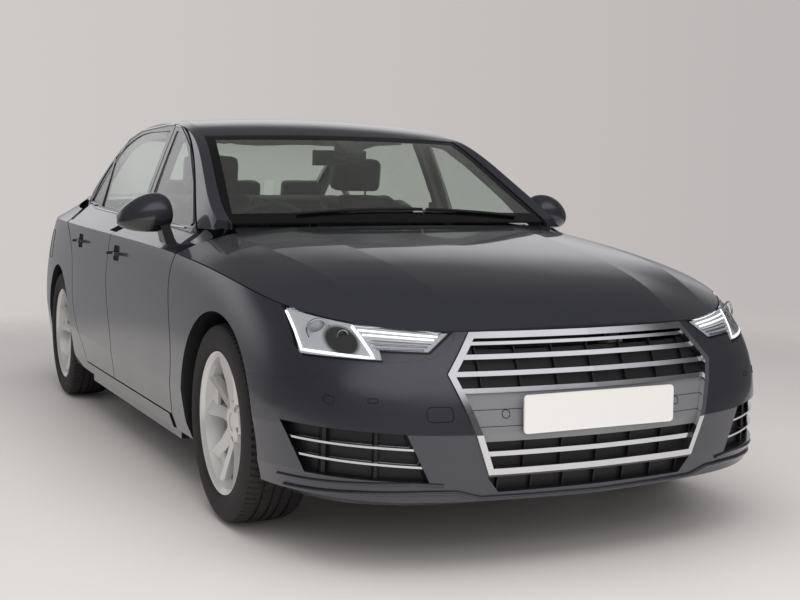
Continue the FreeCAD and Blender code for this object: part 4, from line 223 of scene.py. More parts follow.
# Doors: the same painted panels, with the frames round their windows covered in gloss black film.
# The film starts at the waist strip, which rises a little towards the rear of the car.


def restyled(material, name):
    """A copy of a material to change by place, with its nodes and the axes of Object coordinates."""
    material = material.copy()
    material.name = name
    tree = material.node_tree
    place = add_node(tree, "ShaderNodeTexCoord", {}).outputs["Object"]
    axes = add_node(tree, "ShaderNodeSeparateXYZ", {"Vector": place}).outputs
    return material, tree, axes


def painted_over(tree, mask, colour, **values):
    """Gives a material's shader another colour and other values where a mask is 1."""
    shader = tree.nodes["Principled BSDF"]
    under = shader.inputs["Base Color"].links[0].from_socket
    mixed = add_node(tree, "ShaderNodeMix", {"Factor": mask, 6: under, 7: linear(colour)}, data_type="RGBA")
    feed(tree, shader, {"Base Color": mixed})
    for name, value in values.items():
        before = shader.inputs[name].default_value
        changed = add_node(tree, "ShaderNodeMapRange", {"Value": mask, "To Min": before, "To Max": value})
        feed(tree, shader, {name: changed})


# Door finish: the body's paint below the waist, and gloss black film above it. The waist is a parabola in x.
door_finish, tree, axes = restyled(paint, "door_paint_and_black_film")
rise = add_node(tree, "ShaderNodeMath", {0: axes["X"], 1: 0.00818, 2: -0.03222}, operation="MULTIPLY_ADD")
waist = add_node(tree, "ShaderNodeMath", {0: rise, 1: axes["X"], 2: 0.956}, operation="MULTIPLY_ADD")
above = add_node(tree, "ShaderNodeMath", {0: axes["Z"], 1: waist}, operation="GREATER_THAN")
painted_over(tree, above, "#08080a", Metallic=0.0)
dress(["door_front_left", "door_front_right", "door_rear_left", "door_rear_right"], door_finish)


def skin(*names):
    """A search tree of the faces of CAD nodes, to lay pieces on them."""
    points, faces = [], []
    for name in names:
        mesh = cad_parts[name].data
        start = len(points)
        points += [vertex.co.copy() for vertex in mesh.vertices]
        faces += [[start + i for i in face.vertices] for face in mesh.polygons]
    return BVHTree.FromPolygons(points, faces)


def laid_on(tree, keys, direction, steps=10, lift=0.0):
    """Points on a skin along a line of key points, found by looking along a direction from 3 m away."""
    spots = [
        Vector(first).lerp(Vector(second), i / steps)
        for first, second in zip(keys, keys[1:]) for i in range(steps)]
    found = []
    for spot in spots + [Vector(keys[-1])]:
        hit, normal = tree.ray_cast(spot - direction * 3, direction)[:2]
        if hit:
            found.append(hit + normal * lift)
    return found


def strip(name, points, radius, material, body, closed=False):
    """A round strip along a line of points, as a mesh that rides on a body."""
    curve = bpy.data.curves.new(name, "CURVE")
    curve.dimensions = "3D"
    line = curve.splines.new("POLY")
    line.points.add(len(points) - 1)
    for spot, point in zip(line.points, points):
        spot.co = (*point, 1.0)
    line.use_cyclic_u = closed
    curve.bevel_depth = radius
    curve.bevel_resolution = 3
    curve.use_fill_caps = True
    piece = bpy.data.objects.new(name, curve)
    scene.collection.objects.link(piece)
    bpy.ops.object.select_all(action="DESELECT")
    bpy.context.view_layer.objects.active = piece
    piece.select_set(True)
    bpy.ops.object.convert(target="MESH")
    piece = bpy.context.object
    piece.data.materials.clear()
    piece.data.materials.append(material)
    bpy.ops.object.shade_smooth_by_angle(angle=math.radians(50))
    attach(piece, body)


# Window glass: tempered side panes and a laminated windscreen, float glass with a slight green tint.
# Each pane is bonded or runs in its door, and a black printed band hides the glue at the edges.
# Float glass: clear, colourless face on, a little green through its edge, with the faintest smears
glass, tree, shader, place = new_material(
    "tinted_float_glass", Roughness=0.0, IOR=1.5, Transmission_Weight=1.0, Base_Color=linear("#e9f1ec"))
smear = add_node(tree, "ShaderNodeTexNoise", {"Vector": place, "Scale": 6.0, "Detail": 2.0})
clean = add_node(tree, "ShaderNodeMapRange", {"Value": smear, "To Min": 0.0, "To Max": 0.015})
feed(tree, shader, {"Roughness": clean})


def cover(tree, mask, kind, **inputs):
    """Covers a material's surface with another shader where a mask is 1."""
    surface = tree.nodes["Material Output"].inputs["Surface"]
    shader = add_node(tree, kind, {key.replace("_", " "): value for key, value in inputs.items()})
    mixed = add_node(tree, "ShaderNodeMixShader", {0: mask, 1: surface.links[0].from_socket, 2: shader})
    feed(tree, tree.nodes["Material Output"], {"Surface": mixed})


def let_light_through(tree, tint):
    """Makes a clear material cast no dark shadow: rays that look for a light pass it with a tint."""
    shadow = add_node(tree, "ShaderNodeLightPath", {}).outputs["Is Shadow Ray"]
    cover(tree, shadow, "ShaderNodeBsdfTransparent", Color=linear(tint))


let_light_through(tree, "#d9e4dc")
dress(["glass_front_left", "glass_front_right", "glass_rear_left", "glass_rear_right"], glass)
# Screen glass: the same, with a black enamel band 40 mm wide fired along the windscreen's edges. In plan its
# inner edge is a straight line along each side, and a parabola along the top and along the foot.
screen_glass, tree, axes = restyled(glass, "screen_glass_with_black_band")
out = add_node(tree, "ShaderNodeMath", {0: axes["Y"]}, operation="ABSOLUTE")
out_squared = add_node(tree, "ShaderNodeMath", {0: out, 1: out}, operation="MULTIPLY")
side_edge = add_node(tree, "ShaderNodeMath", {0: axes["X"], 1: 0.1886, 2: 0.482}, operation="MULTIPLY_ADD")
top_edge = add_node(tree, "ShaderNodeMath", {0: out_squared, 1: -0.2766, 2: 0.430}, operation="MULTIPLY_ADD")
foot_edge = add_node(tree, "ShaderNodeMath", {0: out_squared, 1: -0.1607, 2: 0.955}, operation="MULTIPLY_ADD")
past_side = add_node(tree, "ShaderNodeMath", {0: out, 1: side_edge}, operation="GREATER_THAN")
past_top = add_node(tree, "ShaderNodeMath", {0: axes["X"], 1: top_edge}, operation="LESS_THAN")
past_foot = add_node(tree, "ShaderNodeMath", {0: axes["X"], 1: foot_edge}, operation="GREATER_THAN")
front_half = add_node(tree, "ShaderNodeMath", {0: axes["X"], 1: 0.0}, operation="GREATER_THAN")
band = add_node(tree, "ShaderNodeMath", {0: past_side, 1: past_top}, operation="MAXIMUM")
band = add_node(tree, "ShaderNodeMath", {0: band, 1: front_half}, operation="MULTIPLY")
band = add_node(tree, "ShaderNodeMath", {0: band, 1: past_foot}, operation="MAXIMUM")
cover(tree, band, "ShaderNodeBsdfPrincipled", Base_Color=linear("#070708"), Roughness=0.1, IOR=1.5)
dress(["windscreen", "rear_window"], screen_glass)

# Wheels: cast aluminium rims with five double spokes, silver lacquer, and radial tyres on them.
# The tyre is turned from its cut profile, with grooves round the tread and slots across its shoulders.
# Tyre rubber: carbon black, dull, with a fine dusty grain
rubber, tree, shader, place = new_material("tyre_rubber", Roughness=0.75, IOR=1.5)
dust = add_node(tree, "ShaderNodeTexNoise", {"Vector": place, "Scale": 60.0, "Detail": 5.0})
colour = add_node(tree, "ShaderNodeMix", {
    "Factor": dust, 6: linear("#1d1b1b"), 7: linear("#2c2a29")}, data_type="RGBA")
grain = add_node(tree, "ShaderNodeBump", {"Height": dust, "Strength": 0.25, "Distance": 0.001})
feed(tree, shader, {"Base Color": colour, "Normal": grain})
# Cast aluminium under silver lacquer: bright, satin, with the faintest orange peel
alloy, tree, shader, place = new_material(
    "silver_lacquered_aluminium", Metallic=0.6, Roughness=0.38, Coat_Weight=0.6, Coat_Roughness=0.08)
peel = add_node(tree, "ShaderNodeTexNoise", {"Vector": place, "Scale": 220.0, "Detail": 2.0})
colour = add_node(tree, "ShaderNodeMix", {
    "Factor": peel, 6: linear("#d9d8d6"), 7: linear("#e6e5e2")}, data_type="RGBA")
feed(tree, shader, {"Base Color": colour})
WHEELS = {
    "front_left": (1.483, 0.7856), "front_right": (1.483, -0.7856),
    "rear_left": (-1.337, 0.7773), "rear_right": (-1.337, -0.7773)}
dress(["rim_" + wheel for wheel in WHEELS], alloy)
# Half of the tyre's cut outline: distance out from its middle plane, and distance from the axle
TYRE_HALF = [
    (0.0, 0.3280), (0.0095, 0.3280), (0.0105, 0.3205), (0.0190, 0.3205), (0.0200, 0.3278), (0.0450, 0.3270),
    (0.0460, 0.3195), (0.0545, 0.3195), (0.0555, 0.3266), (0.0790, 0.3242), (0.0970, 0.3175),
    (0.1035, 0.3105), (0.1068, 0.3030), (0.1100, 0.2900), (0.1118, 0.2760), (0.1112, 0.2740),
    (0.1115, 0.2600), (0.1080, 0.2460), (0.1040, 0.2405), (0.1050, 0.2380), (0.1010, 0.2350),
    (0.0960, 0.2345), (0.0800, 0.2260)]
section = bpy.data.curves.new("tyre_section", "CURVE")
section.dimensions = "3D"
outline = section.splines.new("POLY")
loop = TYRE_HALF + [(-out, radius) for out, radius in TYRE_HALF[:0:-1]]
outline.points.add(len(loop) - 1)
for spot, (out, radius) in zip(outline.points, loop):
    spot.co = (0.0, out, radius, 1.0)
outline.use_cyclic_u = True
tyre = bpy.data.objects.new("tyre", section)
scene.collection.objects.link(tyre)
bpy.ops.object.select_all(action="DESELECT")
bpy.context.view_layer.objects.active = tyre
tyre.select_set(True)
bpy.ops.object.convert(target="MESH")
tyre = bpy.context.object
bpy.ops.object.mode_set(mode="EDIT")
bpy.ops.mesh.select_all(action="SELECT")
TURN_STEPS = 168
bpy.ops.mesh.spin(steps=TURN_STEPS, angle=math.tau, center=(0, 0, 0), axis=(0, 1, 0))
bpy.ops.mesh.select_all(action="SELECT")
bpy.ops.mesh.remove_doubles(threshold=0.00005)
bpy.ops.mesh.normals_make_consistent(inside=False)


def sink(picked, wall, depth, one_by_one):
    """Sinks the facets of the tread that a rule picks by distance out, radius and number round the tyre."""
    bpy.ops.mesh.select_all(action="DESELECT")
    bm = bmesh.from_edit_mesh(tyre.data)
    for face in bm.faces:
        middle = face.calc_center_median()
        turn = int((math.atan2(middle.z, middle.x) + math.pi) / math.tau * TURN_STEPS)
        face.select = picked(abs(middle.y), math.hypot(middle.x, middle.z), turn)
    bmesh.update_edit_mesh(tyre.data)
    bpy.ops.mesh.inset(thickness=wall, depth=-depth, use_individual=one_by_one)


# Slots: every second facet of the shoulders, and every third of the ribs beside the middle
sink(lambda out, radius, turn: 0.056 < out < 0.101 and radius > 0.3175 and turn % 2 == 0,
     wall=0.0036, depth=0.0045, one_by_one=False)
sink(lambda out, radius, turn: 0.0205 < out < 0.0445 and radius > 0.326 and turn % 3 == 0,
     wall=0.0042, depth=0.004, one_by_one=True)
bpy.ops.object.mode_set(mode="OBJECT")
bpy.ops.object.shade_smooth_by_angle(angle=math.radians(28))
tyre.data.materials.append(rubber)
AXLE_HEIGHT = 0.3282
for wheel, (along, out) in WHEELS.items():
    copy = bpy.data.objects.new("treaded_tyre_" + wheel, tyre.data.copy())
    scene.collection.objects.link(copy)
    copy.data.transform(Matrix.Translation((along, out, AXLE_HEIGHT)))
    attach(copy, wheel + "_wheel")
    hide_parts("tyre_" + wheel)
bpy.data.objects.remove(tyre)

# Black mouldings: the wheel liners, wipers, dashboard, shelf and steering wheel are moulded in grained
# plastic, clipped or screwed in place. The steel floor pan is coated to match, with underseal.
# Moulded polypropylene: charcoal black with a leathery grain about 1 mm across
black_plastic, tree, shader, place = new_material("grained_black_polypropylene", Roughness=0.5, IOR=1.49)
pores = add_node(tree, "ShaderNodeTexVoronoi", {"Vector": place, "Scale": 900.0})
colour = add_node(tree, "ShaderNodeMix", {
    "Factor": pores, 6: linear("#111112"), 7: linear("#1d1d1f")}, data_type="RGBA")
grain = add_node(tree, "ShaderNodeBump", {"Height": pores, "Strength": 0.2, "Distance": 0.0005})
feed(tree, shader, {"Base Color": colour, "Normal": grain})
dress([
    "wheel_liners", "wipers", "floor_pan", "dashboard", "parcel_shelf", "steering_wheel",
    "interior_mirror"], black_plastic)

# Grille and fog grilles: black mouldings. The rows beside the plate are painted satin grey, and the
# blades across the fog grilles are plated.
# Grille finish: black plastic, satin grey paint on the rows between 0.377 and 0.513 m high
grille_finish, tree, axes = restyled(black_plastic, "black_grille_with_grey_rows")
in_rows = add_node(tree, "ShaderNodeMath", {0: axes["Z"], 1: 0.445, 2: 0.0685}, operation="COMPARE")
painted_over(tree, in_rows, "#8d8e90", Metallic=0.55)
dress(["grille_mesh"], grille_finish)
# Fog grille finish: black plastic, and bright plating on the two blades of each side. A blade's height is a
# slope times the distance out, plus a height at the car's middle.
fog_finish, tree, axes = restyled(black_plastic, "black_fog_grille_with_plated_blades")
BLADE_LINES = [(0.0616, 0.3254), (0.0735, 0.2695)]
BLADE_HALF = 0.0045
BESIDE_GRILLE = 0.45
out = add_node(tree, "ShaderNodeMath", {0: axes["Y"]}, operation="ABSOLUTE")
on_blade = []
for slope, middle in BLADE_LINES:
    line = add_node(tree, "ShaderNodeMath", {0: out, 1: slope, 2: middle}, operation="MULTIPLY_ADD")
    on_blade.append(add_node(tree, "ShaderNodeMath", {
        0: axes["Z"], 1: line, 2: BLADE_HALF}, operation="COMPARE"))
beside = add_node(tree, "ShaderNodeMath", {0: out, 1: BESIDE_GRILLE}, operation="GREATER_THAN")
plated = add_node(tree, "ShaderNodeMath", {0: on_blade[0], 1: on_blade[1]}, operation="MAXIMUM")
plated = add_node(tree, "ShaderNodeMath", {0: plated, 1: beside}, operation="MULTIPLY")
painted_over(tree, plated, "#dcdde0", Metallic=1.0, Roughness=0.15)
dress(["fog_grilles"], fog_finish)

# Grille frame: one plastic moulding, plated bright, that is clipped into the bumper from the front
# round the grille's mesh.
# Plated chrome: bright and slightly blue, with the faintest haze
chrome, tree, shader, place = new_material("plated_chrome", Metallic=1.0, Roughness=0.16)
haze = add_node(tree, "ShaderNodeTexNoise", {"Vector": place, "Scale": 14.0})
colour = add_node(tree, "ShaderNodeMix", {
    "Factor": haze, 6: linear("#dcdde0"), 7: linear("#e8e9eb")}, data_type="RGBA")
feed(tree, shader, {"Base Color": colour})
dress(["grille_frame"], chrome)

# Window surround: a plated strip round the windows of each side, clipped to the doors, so that it parts
# where the doors part. Its lower run lies along the waist and its upper run along the roof rail.
# Each run of strip, as the distance along the car and the height of its key points
FRONT_SURROUND = [
    [(0.690, 0.940), (0.394, 0.944), (0.150, 0.953), (-0.044, 0.961)],
    [(-0.046, 1.368), (0.055, 1.356), (0.190, 1.312), (0.330, 1.258), (0.561, 1.109), (0.740, 0.960),
     (0.690, 0.940)]]
REAR_SURROUND = [[
    (-0.070, 0.962), (-0.400, 0.972), (-0.700, 0.980), (-1.126, 0.993), (-1.560, 1.018), (-1.640, 1.036),
    (-1.562, 1.093), (-1.335, 1.228), (-1.080, 1.318), (-0.700, 1.372), (-0.201, 1.377), (-0.072, 1.372)]]
for side, sign in (("left", 1), ("right", -1)):
    for axle, runs in (("front", FRONT_SURROUND), ("rear", REAR_SURROUND)):
        door = "%s_%s" % (axle, side)
        door_skin = skin("door_" + door)
        for number, run in enumerate(runs):
            points = laid_on(door_skin, [(x, 0, z) for x, z in run], Vector((0, -sign, 0)), 8, 0.001)
            points = [point for point in points if abs(point.y) > 0.55]
            strip("surround_%s_%d" % (door, number), points, 0.0042, chrome, door + "_door")

# Running gear under the floor: the engine, exhaust, suspension, axle and knuckles are cast, forged or welded
# steel, left bare, and bolted up from below.
# Bare steel: grey, dull, with patches of surface rust and road dust
steel, tree, shader, place = new_material("dusty_bare_steel", Metallic=0.7, Roughness=0.5)
patches = add_node(tree, "ShaderNodeTexNoise", {"Vector": place, "Scale": 12.0, "Detail": 6.0})
colour = add_node(tree, "ShaderNodeMix", {
    "Factor": patches, 6: linear("#5c5a58"), 7: linear("#77736f")}, data_type="RGBA")
feed(tree, shader, {"Base Color": colour})
dress(["engine_block", "exhaust", "rear_axle", "front_suspension", "knuckle_left", "knuckle_right"], steel)

# Headlamp shells: a clear polycarbonate lens is welded over a silvered plastic housing, and the pair is
# bolted in behind the bumper's corner. A black gasket runs round the lens.
# Polycarbonate: clear and very smooth
clear_lens, tree = new_material(
    "clear_polycarbonate", Roughness=0.0, IOR=1.58, Transmission_Weight=1.0, Base_Color=linear("#f6f8fa"))[:2]
let_light_through(tree, "#f2f4f6")
# Lens finish: clear inside the lamp's outline, the gasket 6 mm wide along it, and body paint beyond it, on
# the strip that fills the wing's corner
lens_finish, tree, axes = restyled(clear_lens, "clear_lens_with_painted_edge")
out = add_node(tree, "ShaderNodeMath", {0: axes["Y"]}, operation="ABSOLUTE")
# How far a point lies beyond each straight edge of the outline in front view: a factor of its distance out, a
# factor of its height, and a constant
past_edges = []
for of_out, of_height, constant in (
        (1.0, 0.0704, -0.8558), (0.05645, -1.0, 0.56492), (0.04, -1.0, 0.60111), (-0.590, -0.8065, 0.7925)):
    partial = add_node(tree, "ShaderNodeMath", {0: out, 1: of_out, 2: constant}, operation="MULTIPLY_ADD")
    past_edges.append(add_node(tree, "ShaderNodeMath", {
        0: axes["Z"], 1: of_height, 2: partial}, operation="MULTIPLY_ADD"))
outer_end, outer_foot, inner_foot, inner_end = past_edges
NOTCH_Y = 0.622
past_notch = add_node(tree, "ShaderNodeMath", {0: out, 1: NOTCH_Y}, operation="GREATER_THAN")
foot = add_node(tree, "ShaderNodeMix", {"Factor": past_notch, 2: inner_foot, 3: outer_foot})
beyond = add_node(tree, "ShaderNodeMath", {0: foot, 1: outer_end}, operation="MAXIMUM")
beyond = add_node(tree, "ShaderNodeMath", {0: beyond, 1: inner_end}, operation="MAXIMUM")
GASKET_WIDTH = 0.006
in_gasket = add_node(tree, "ShaderNodeMath", {0: beyond, 1: -GASKET_WIDTH}, operation="GREATER_THAN")
in_paint = add_node(tree, "ShaderNodeMath", {0: beyond, 1: 0.0}, operation="GREATER_THAN")
cover(tree, in_gasket, "ShaderNodeBsdfPrincipled", Base_Color=linear("#0a0a0b"), Roughness=0.3)
cover(tree, in_paint, "ShaderNodeBsdfPrincipled",
      Base_Color=linear("#45464c"), Metallic=0.75, Roughness=0.36, Coat_Weight=1.0)
dress(["headlamp_lenses"], lens_finish)
# Bezel: the lamp's inner shell, silvered, with a black well round the smaller ball
bezel, tree, shader, place = new_material("silvered_bezel_with_black_well", Metallic=0.7, Roughness=0.4)
specks = add_node(tree, "ShaderNodeTexNoise", {"Vector": place, "Scale": 400.0})
silver = add_node(tree, "ShaderNodeMix", {
    "Factor": specks, 6: linear("#d4d6d9"), 7: linear("#e6e7ea")}, data_type="RGBA")
axes = add_node(tree, "ShaderNodeSeparateXYZ", {"Vector": place}).outputs
out = add_node(tree, "ShaderNodeMath", {0: axes["Y"]}, operation="ABSOLUTE")
front_view = add_node(tree, "ShaderNodeCombineXYZ", {"X": out, "Y": axes["Z"]})
WELL_CENTRE = (0.705, 0.655, 0.0)
from_well = add_node(tree, "ShaderNodeVectorMath", {0: front_view, 1: WELL_CENTRE}, operation="DISTANCE")
past_well = add_node(tree, "ShaderNodeMapRange", {"Value": from_well, "From Min": 0.034, "From Max": 0.044})
colour = add_node(tree, "ShaderNodeMix", {
    "Factor": past_well, 6: linear("#101113"), 7: silver}, data_type="RGBA")
feed(tree, shader, {"Base Color": colour})
dress(["headlamps"], bezel)
# Lit diffuser: white plastic over light-emitting diodes, with a fine frosting
diffuser, tree, shader, place = new_material(
    "lit_white_diffuser", Roughness=0.4, Base_Color=linear("#f4f6f8"))
frost = add_node(tree, "ShaderNodeTexNoise", {"Vector": place, "Scale": 180.0})
glow = add_node(tree, "ShaderNodeMapRange", {"Value": frost, "To Min": 0.5, "To Max": 0.8})
feed(tree, shader, {"Emission Color": linear("#f2f6ff"), "Emission Strength": glow})

# Inside each headlamp: two clear balls in plated rings, the larger for the beam, a lit running light in the
# shape of a tick, and plated louvres towards the grille, two of them lit. All are clipped to the silvered
# housing.
HOUSING_SKIN = skin("headlamps")
BACK = Vector((-1, 0, 0))
# Key points in front view: distance across, here on the right side, and height
TICK = [(-0.7990, 0.7270), (-0.7975, 0.6255), (-0.6400, 0.6100), (-0.6720, 0.7020)]
# The upper and lower corner of the louvres' panel at its outer end, and the same at its inner end
LOUVRE_ENDS = [((-0.6640, 0.6960), (-0.6330, 0.6350)), ((-0.4480, 0.6760), (-0.5060, 0.6320))]
LOUVRE_COUNT = 6
ROUND_LAMPS = [("beam_lens", -0.7500, 0.6800, 0.031), ("small_lamp", -0.6980, 0.6700, 0.014)]
for side, sign in (("right", 1), ("left", -1)):
    tick = laid_on(HOUSING_SKIN, [(0, sign * y, z) for y, z in TICK], BACK)
    strip("running_light_" + side, tick, 0.0048, diffuser, "body")
    for number in range(LOUVRE_COUNT):
        share = number / (LOUVRE_COUNT - 1)
        ends = [
            Vector((0, sign * upper[0], upper[1])).lerp(Vector((0, sign * lower[0], lower[1])), share)
            for upper, lower in LOUVRE_ENDS]
        finish = diffuser if number in (1, 2) else chrome
        strip("louvre_%s_%d" % (side, number), laid_on(HOUSING_SKIN, ends, BACK, 14), 0.0034, finish, "body")
    facing = Vector((0.85, sign * -0.45, 0.05)).normalized()
    turn = facing.to_track_quat("Z", "Y").to_matrix().to_4x4()
    flatter = Matrix.Scale(0.8, 4, (0, 0, 1))
    for name, y, z, radius in ROUND_LAMPS:
        hit = HOUSING_SKIN.ray_cast(Vector((3, sign * y, z)), BACK)[0]
        bpy.ops.object.select_all(action="DESELECT")
        bpy.ops.mesh.primitive_uv_sphere_add(segments=40, ring_count=20, radius=radius, location=(0, 0, 0))
        ball = bpy.context.object
        ball.data.transform(Matrix.Translation(hit - facing * radius * 0.72) @ turn @ flatter)
        ball.name = "%s_%s" % (name, side)
        ball.data.materials.append(clear_lens)
        bpy.ops.object.shade_smooth()
        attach(ball, "body")
        bpy.ops.object.select_all(action="DESELECT")
        bpy.ops.mesh.primitive_torus_add(
            major_segments=48, minor_segments=12, major_radius=radius * 1.08, minor_radius=radius * 0.1,
            location=(0, 0, 0))
        collar = bpy.context.object
        collar.data.transform(Matrix.Translation(hit + facing * 0.001) @ turn)
        collar.name = "%s_collar_%s" % (name, side)
        collar.data.materials.append(chrome)
        bpy.ops.object.shade_smooth()
        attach(collar, "body")

# Bumper fittings: the parking sensors, washer covers and towing cover are sprayed with the bumper, and only
# the thin dark gap round each shows. A painted lip and two winglets are stuck along the bumper's foot.
# Gap rubber: matt black, faintly mottled every 2 mm
gap_rubber, tree, shader, place = new_material("matt_black_seal", Roughness=0.8, IOR=1.5)
fuzz = add_node(tree, "ShaderNodeTexNoise", {"Vector": place, "Scale": 500.0})
colour = add_node(tree, "ShaderNodeMix", {
    "Factor": fuzz, 6: linear("#0b0b0c"), 7: linear("#151516")}, data_type="RGBA")
feed(tree, shader, {"Base Color": colour})
NOSE_SKIN = skin("front_bumper", "grille_mesh")


def ringed(centre, half, power, count):
    """Key points round a rounded outline, from its centre and half its size along each axis."""
    keys = []
    for i in range(count):
        a = math.tau * i / count
        c, d = (math.copysign(abs(part) ** power, part) for part in (math.cos(a), math.sin(a)))
        keys.append((centre[0] + half[0] * c, centre[1] + half[1] * c, centre[2] + half[2] * d))
    return keys + keys[:1]


# Each fitting: distance across, height, half its width and height, and the power of its outline: 1 is round
FITTINGS = [
    ("sensor_outer_right", -0.7631, 0.4962, 0.012, 0.012, 1.0),
    ("sensor_outer_left", 0.7631, 0.4962, 0.012, 0.012, 1.0),
    ("sensor_grille_right", -0.2994, 0.4535, 0.012, 0.012, 1.0),
    ("sensor_grille_left", 0.2938, 0.4538, 0.012, 0.012, 1.0),
    ("washer_cover_right", -0.6628, 0.4978, 0.012, 0.006, 0.5),
    ("washer_cover_left", 0.6628, 0.4978, 0.012, 0.006, 0.5),
    ("towing_cover", -0.4935, 0.4600, 0.036, 0.021, 0.45)]
for name, y, z, wide, high, power in FITTINGS:
    edge = laid_on(NOSE_SKIN, ringed((0, y, z), (0, wide, high), power, 24), BACK, 2)
    strip(name, edge[:-1], 0.0012, gap_rubber, "body", closed=True)
LIP = [
    (-0.835, 0.2250), (-0.700, 0.2330), (-0.520, 0.2360), (-0.440, 0.2330), (-0.370, 0.2130), (0.0, 0.2080),
    (0.370, 0.2130), (0.440, 0.2330), (0.520, 0.2360), (0.700, 0.2330), (0.835, 0.2250)]
lip_points = laid_on(NOSE_SKIN, [(0, y, z) for y, z in LIP], BACK, lift=0.002)
strip("front_lip", lip_points, 0.007, paint, "body")
WINGLET = [(0.850, 0.2560), (0.700, 0.2620), (0.560, 0.2640), (0.480, 0.2560)]
for side, sign in (("left", 1), ("right", -1)):
    edge = laid_on(NOSE_SKIN, [(0, sign * y, z) for y, z in WINGLET], BACK, lift=0.002)
    strip("winglet_" + side, edge, 0.005, paint, "body")

# Scuttle: a moulded black cover between the foot of the windscreen and the bonnet's rear edge, and at each
# end of it a painted steel corner that joins the wing to the windscreen pillar. All are clipped down.


def shaped_sheet(name, rows, material, thickness):
    """A sheet with rounded bends through rows of points, modelled from a grid."""
    bpy.ops.object.select_all(action="DESELECT")
    bpy.ops.mesh.primitive_grid_add(
        x_subdivisions=len(rows) - 1, y_subdivisions=len(rows[0]) - 1, size=2, location=(0, 0, 0))
    piece = bpy.context.object
    piece.name = name
    for vertex in piece.data.vertices:
        row = round((vertex.co.x + 1) / 2 * (len(rows) - 1))
        place_in_row = round((vertex.co.y + 1) / 2 * (len(rows[0]) - 1))
        vertex.co = rows[row][place_in_row]
    for kind, values in (("SUBSURF", {"levels": 2}), ("SOLIDIFY", {"thickness": thickness})):
        modifier = piece.modifiers.new(kind.lower(), kind)
        for key, value in values.items():
            setattr(modifier, key, value)
        bpy.ops.object.modifier_apply(modifier=modifier.name)
    bpy.ops.object.mode_set(mode="EDIT")
    bpy.ops.mesh.select_all(action="SELECT")
    bpy.ops.mesh.normals_make_consistent(inside=False)
    bpy.ops.object.mode_set(mode="OBJECT")
    bpy.ops.object.shade_smooth_by_angle(angle=math.radians(40))
    piece.data.materials.append(material)
    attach(piece, "body")


# The cover's rear edge, middle and front edge: parabolas in plan, with points 55 mm apart across the car
COVER_STEPS = [-0.66 + 0.055 * i for i in range(25)]
shaped_sheet("scuttle_cover", [
    [(1.020 - 0.188 * y * y, y, 0.949) for y in COVER_STEPS],
    [(1.050 - 0.192 * y * y, y, 0.934) for y in COVER_STEPS],
    [(1.092 - 0.200 * y * y, y, 0.926) for y in COVER_STEPS]], black_plastic, 0.003)
# Three rows of points from the rear to the front of a corner, each from its inner to its outer edge
CORNER = [
    [(0.868, 0.748, 0.945), (0.868, 0.778, 0.905), (0.868, 0.808, 0.893)],
    [(0.925, 0.746, 0.930), (0.925, 0.778, 0.903), (0.925, 0.812, 0.890)],
    [(0.982, 0.744, 0.912), (0.982, 0.778, 0.898), (0.980, 0.814, 0.884)]]
for side, sign in (("left", 1), ("right", -1)):
    rows = [[(x, sign * y, z) for x, y, z in row] for row in CORNER]
    shaped_sheet("scuttle_corner_" + side, rows, paint, 0.002)

# Fuel flap: a pressed steel flap in the right rear quarter, painted with the body and hung level with its
# skin. Only the thin gap round it shows.
flap = ringed((-1.700, 0, 0.790), (0.085, 0, 0.075), 0.4, 32)
edge = laid_on(skin("body_side_right"), flap, Vector((0, 1, 0)), 2)
strip("fuel_flap_gap", edge[:-1], 0.0016, gap_rubber, "body", closed=True)

# Rear lamps: fluted mouldings of red acrylic, one bolted into each rear corner of the body and one beside it
# into the boot lid.
# Red acrylic: deep ruby with a gloss skin over the flutes
red_lens, tree, shader, place = new_material("ruby_acrylic", Roughness=0.05, IOR=1.49, Coat_Weight=0.5)
flutes = add_node(tree, "ShaderNodeTexWave", {"Vector": place, "Scale": 22.0}, bands_direction="Z")
colour = add_node(tree, "ShaderNodeMix", {
    "Factor": flutes.outputs["Fac"], 6: linear("#52070c"), 7: linear("#8a1017")}, data_type="RGBA")
ribs = add_node(tree, "ShaderNodeBump", {"Height": flutes.outputs["Fac"], "Strength": 0.3, "Distance": 0.002})
feed(tree, shader, {"Base Color": colour, "Normal": ribs})
dress(["tail_lamps", "boot_lamps"], red_lens)

# Door mirrors: the case is moulded plastic, sprayed like the body, on a black foot that is bolted to the door
# below the front corner of its window.
# Mirror finish: body paint above, black plastic below the case's parting line
PARTING_Z = 0.972
mirror_finish, tree, axes = restyled(paint, "painted_case_and_black_foot")
below = add_node(tree, "ShaderNodeMath", {0: axes["Z"], 1: PARTING_Z}, operation="LESS_THAN")
painted_over(tree, below, "#0d0d0e", Metallic=0.0)
dress(["mirror_left", "mirror_right"], mirror_finish)

# Seats: pads of moulded foam in dark grey leather, sewn in panels over a steel frame. The pads are puffed
# towards their middles, and side bolsters stand proud of them.
# Leather: satin, finely creased, in cells about 2 mm across
leather, tree, shader, place = new_material("dark_grey_leather", Roughness=0.5, IOR=1.5)
creases = add_node(tree, "ShaderNodeTexVoronoi", {"Vector": place, "Scale": 420.0})
colour = add_node(tree, "ShaderNodeMix", {
    "Factor": creases, 6: linear("#1f2124"), 7: linear("#2b2d31")}, data_type="RGBA")
folds = add_node(tree, "ShaderNodeBump", {"Height": creases, "Strength": 0.3, "Distance": 0.0006})
feed(tree, shader, {"Base Color": colour, "Normal": folds})


